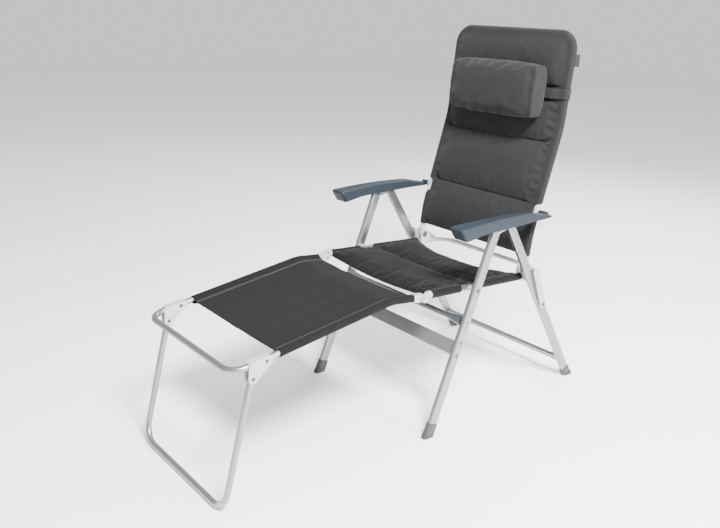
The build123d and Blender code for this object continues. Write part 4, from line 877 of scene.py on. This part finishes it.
def make_tag():
    """A folded tape sewn into the side seam, its root tucked in: it stands out and curls back a little."""
    low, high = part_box("side_tag")
    u, w = np.meshgrid(np.linspace(0, 1, 14), np.linspace(0, 1, 18), indexing="ij")
    x = low.x - TAG_TUCK + (high.x - low.x + TAG_GROWTH) * u
    z = low.z + (high.z - low.z) * w
    y = (low.y + high.y) / 2 + TAG_CURL * u ** 2 + TAG_WAVE * np.sin(w * math.pi * 2) * u
    tag = new_piece("side_tag_cloth", np.stack([x, y, z], -1).reshape(-1, 3), grid_quads(*x.shape))
    thicken(tag, TAG_THICKNESS, 0)
    return tag, (round(high.x - low.x, 3), round(high.z - low.z, 3))


# Making

add_camera()
add_light("key", (2.3, -0.7, 3.3), (0, 0, 0.7), 1.1, 720)
add_light("side", (3.4, 0.9, 1.3), (0, 0.3, 0.7), 1.2, 170)
add_light("rim", (-0.6, 3.0, 2.6), (0, 0, 0.6), 2.4, 150)
world = bpy.data.worlds.new("studio")
world.use_nodes = True
sky = world.node_tree.nodes["Background"]
sky.inputs["Color"].default_value = (0.97, 0.98, 1.0, 1)
sky.inputs["Strength"].default_value = 0.95
scene.world = world

FLOOR_HALF = 12
floor_mesh = bpy.data.meshes.new("floor")
corners = [(a * FLOOR_HALF, b * FLOOR_HALF, 0) for a, b in ((-1, -1), (1, -1), (1, 1), (-1, 1))]
floor_mesh.from_pydata(corners, [], [(0, 1, 2, 3)])
floor = bpy.data.objects.new("floor", floor_mesh)
scene.collection.objects.link(floor)
FLOOR = hard_material("floor_paint", (0.93, 0.93, 0.93, 1), 0, (0.5, 0.7), 300, 0.0002, 0.02)
floor.data.materials.append(FLOOR)

SEAM_X = 0.2265
# Painted shade: dark bands on the back cover by the armrests' cut-outs, and on the seat at its sleeves' ends
# and by its pivots' cut-outs.
EDGE_SHADE_HALF, EDGE_SHADE_INNER = 0.004, 0.2335
NOTCH_EDGE_SHADE = ("Z", (CUT_LOW - 0.003, CUT_HIGH + 0.003), EDGE_SHADE_HALF, EDGE_SHADE_INNER)
SEAT_EDGE_SHADE = ("Y", (0.0075, 0.414, 0.131, 0.197), EDGE_SHADE_HALF, EDGE_SHADE_INNER)
BACK = cloth_material("back_cloth", (0.0090, 0.0092, 0.0097, 1), "XZ", [("X", SEAM_X, "Z")],
                      thread=(0.022, 0.022, 0.023, 1), sheen=0.06, edge_shade=NOTCH_EDGE_SHADE)
SEAT = cloth_material("seat_cloth", (0.0026, 0.0026, 0.0030, 1), "XY", [("X", SEAM_X, "Y")],
                      sheen=0.04, shine=0.14, edge_shade=SEAT_EDGE_SHADE)
SLING = cloth_material("sling_cloth", (0.0048, 0.0048, 0.0052, 1), "XY",
                       [("X", 0.2085, "Y"), ("X", 0.2045, "Y")], sheen=0.025, shine=0.12)
PILLOW = cloth_material("pillow_cloth", (0.0082, 0.0084, 0.0090, 1), "XZ", mottle=0.16)
TRIM = cloth_material("trim_cloth", (0.0090, 0.0092, 0.0098, 1), "XZ", pitch=0.0018)
TAPE = cloth_material("tape_cloth", (0.034, 0.035, 0.037, 1), "YZ", pitch=0.0009)

HARD = {
    "aluminium": hard_material("aluminium_tube", (0.27, 0.28, 0.29, 1), 0.95, (0.28, 0.42),
                               1400, 0.00006, 0.05),
    "bracket_plastic": hard_material("bracket_plastic", (0.34, 0.35, 0.33, 1), 0, (0.38, 0.52),
                                     1100, 0.0001, 0.05),
    "cap_plastic": hard_material("cap_plastic", (0.036, 0.036, 0.033, 1), 0, (0.45, 0.62),
                                 900, 0.00015, 0.08),
    "arm_plastic": hard_material("arm_plastic", (0.0115, 0.0165, 0.023, 1), 0, (0.50, 0.64),
                                 800, 0.0002, 0.08, shine=0.22),
    "panel_paint": hard_material("panel_paint", (0.118, 0.120, 0.120, 1), 0.2, (0.36, 0.5),
                                 1200, 0.0001, 0.05, coat=0.1),
    "white_paint": hard_material("white_paint", (0.38, 0.39, 0.40, 1), 0, (0.3, 0.42),
                                 900, 0.00008, 0.03, coat=0.2),
    "steel": hard_material("zinc_steel", (0.45, 0.46, 0.47, 1), 1, (0.3, 0.45),
                           1300, 0.0001, 0.10),
    "dark_steel": hard_material("dark_steel", (0.06, 0.06, 0.065, 1), 0.7, (0.4, 0.55),
                                1300, 0.0001, 0.12),
}
slot_of = {s["node"]: s["material_slot"] for s in frame["record"]["subparts"]}
for name, node in nodes.items():
    if slot_of.get(name) in HARD:
        node.data.materials.clear()
        node.data.materials.append(HARD[slot_of[name]])

cover = make_back_cover()
cover.data.materials.append(BACK)
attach(cover, "backrest")
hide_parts("back_cover")

seat = make_seat()
seat.data.materials.append(SEAT)
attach(seat, "seat")
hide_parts("seat_cushion")

sling, sling_size = make_sling()
sling.data.materials.append(SLING)
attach(sling, "footrest")
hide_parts("footrest_sling")

pillow, pipes = make_pillow()
pillow.data.materials.append(PILLOW)
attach(pillow, "pillow")
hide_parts("head_pillow")
for pipe in pipes:
    pipe.data.materials.append(TRIM)
    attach(pipe, "pillow")

strap, strap_size = make_strap()
strap.data.materials.append(TRIM)
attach(strap, "pillow")
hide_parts("pillow_strap")

tag, tag_size = make_tag()
tag.data.materials.append(TAPE)
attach(tag, "backrest")
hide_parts("side_tag")
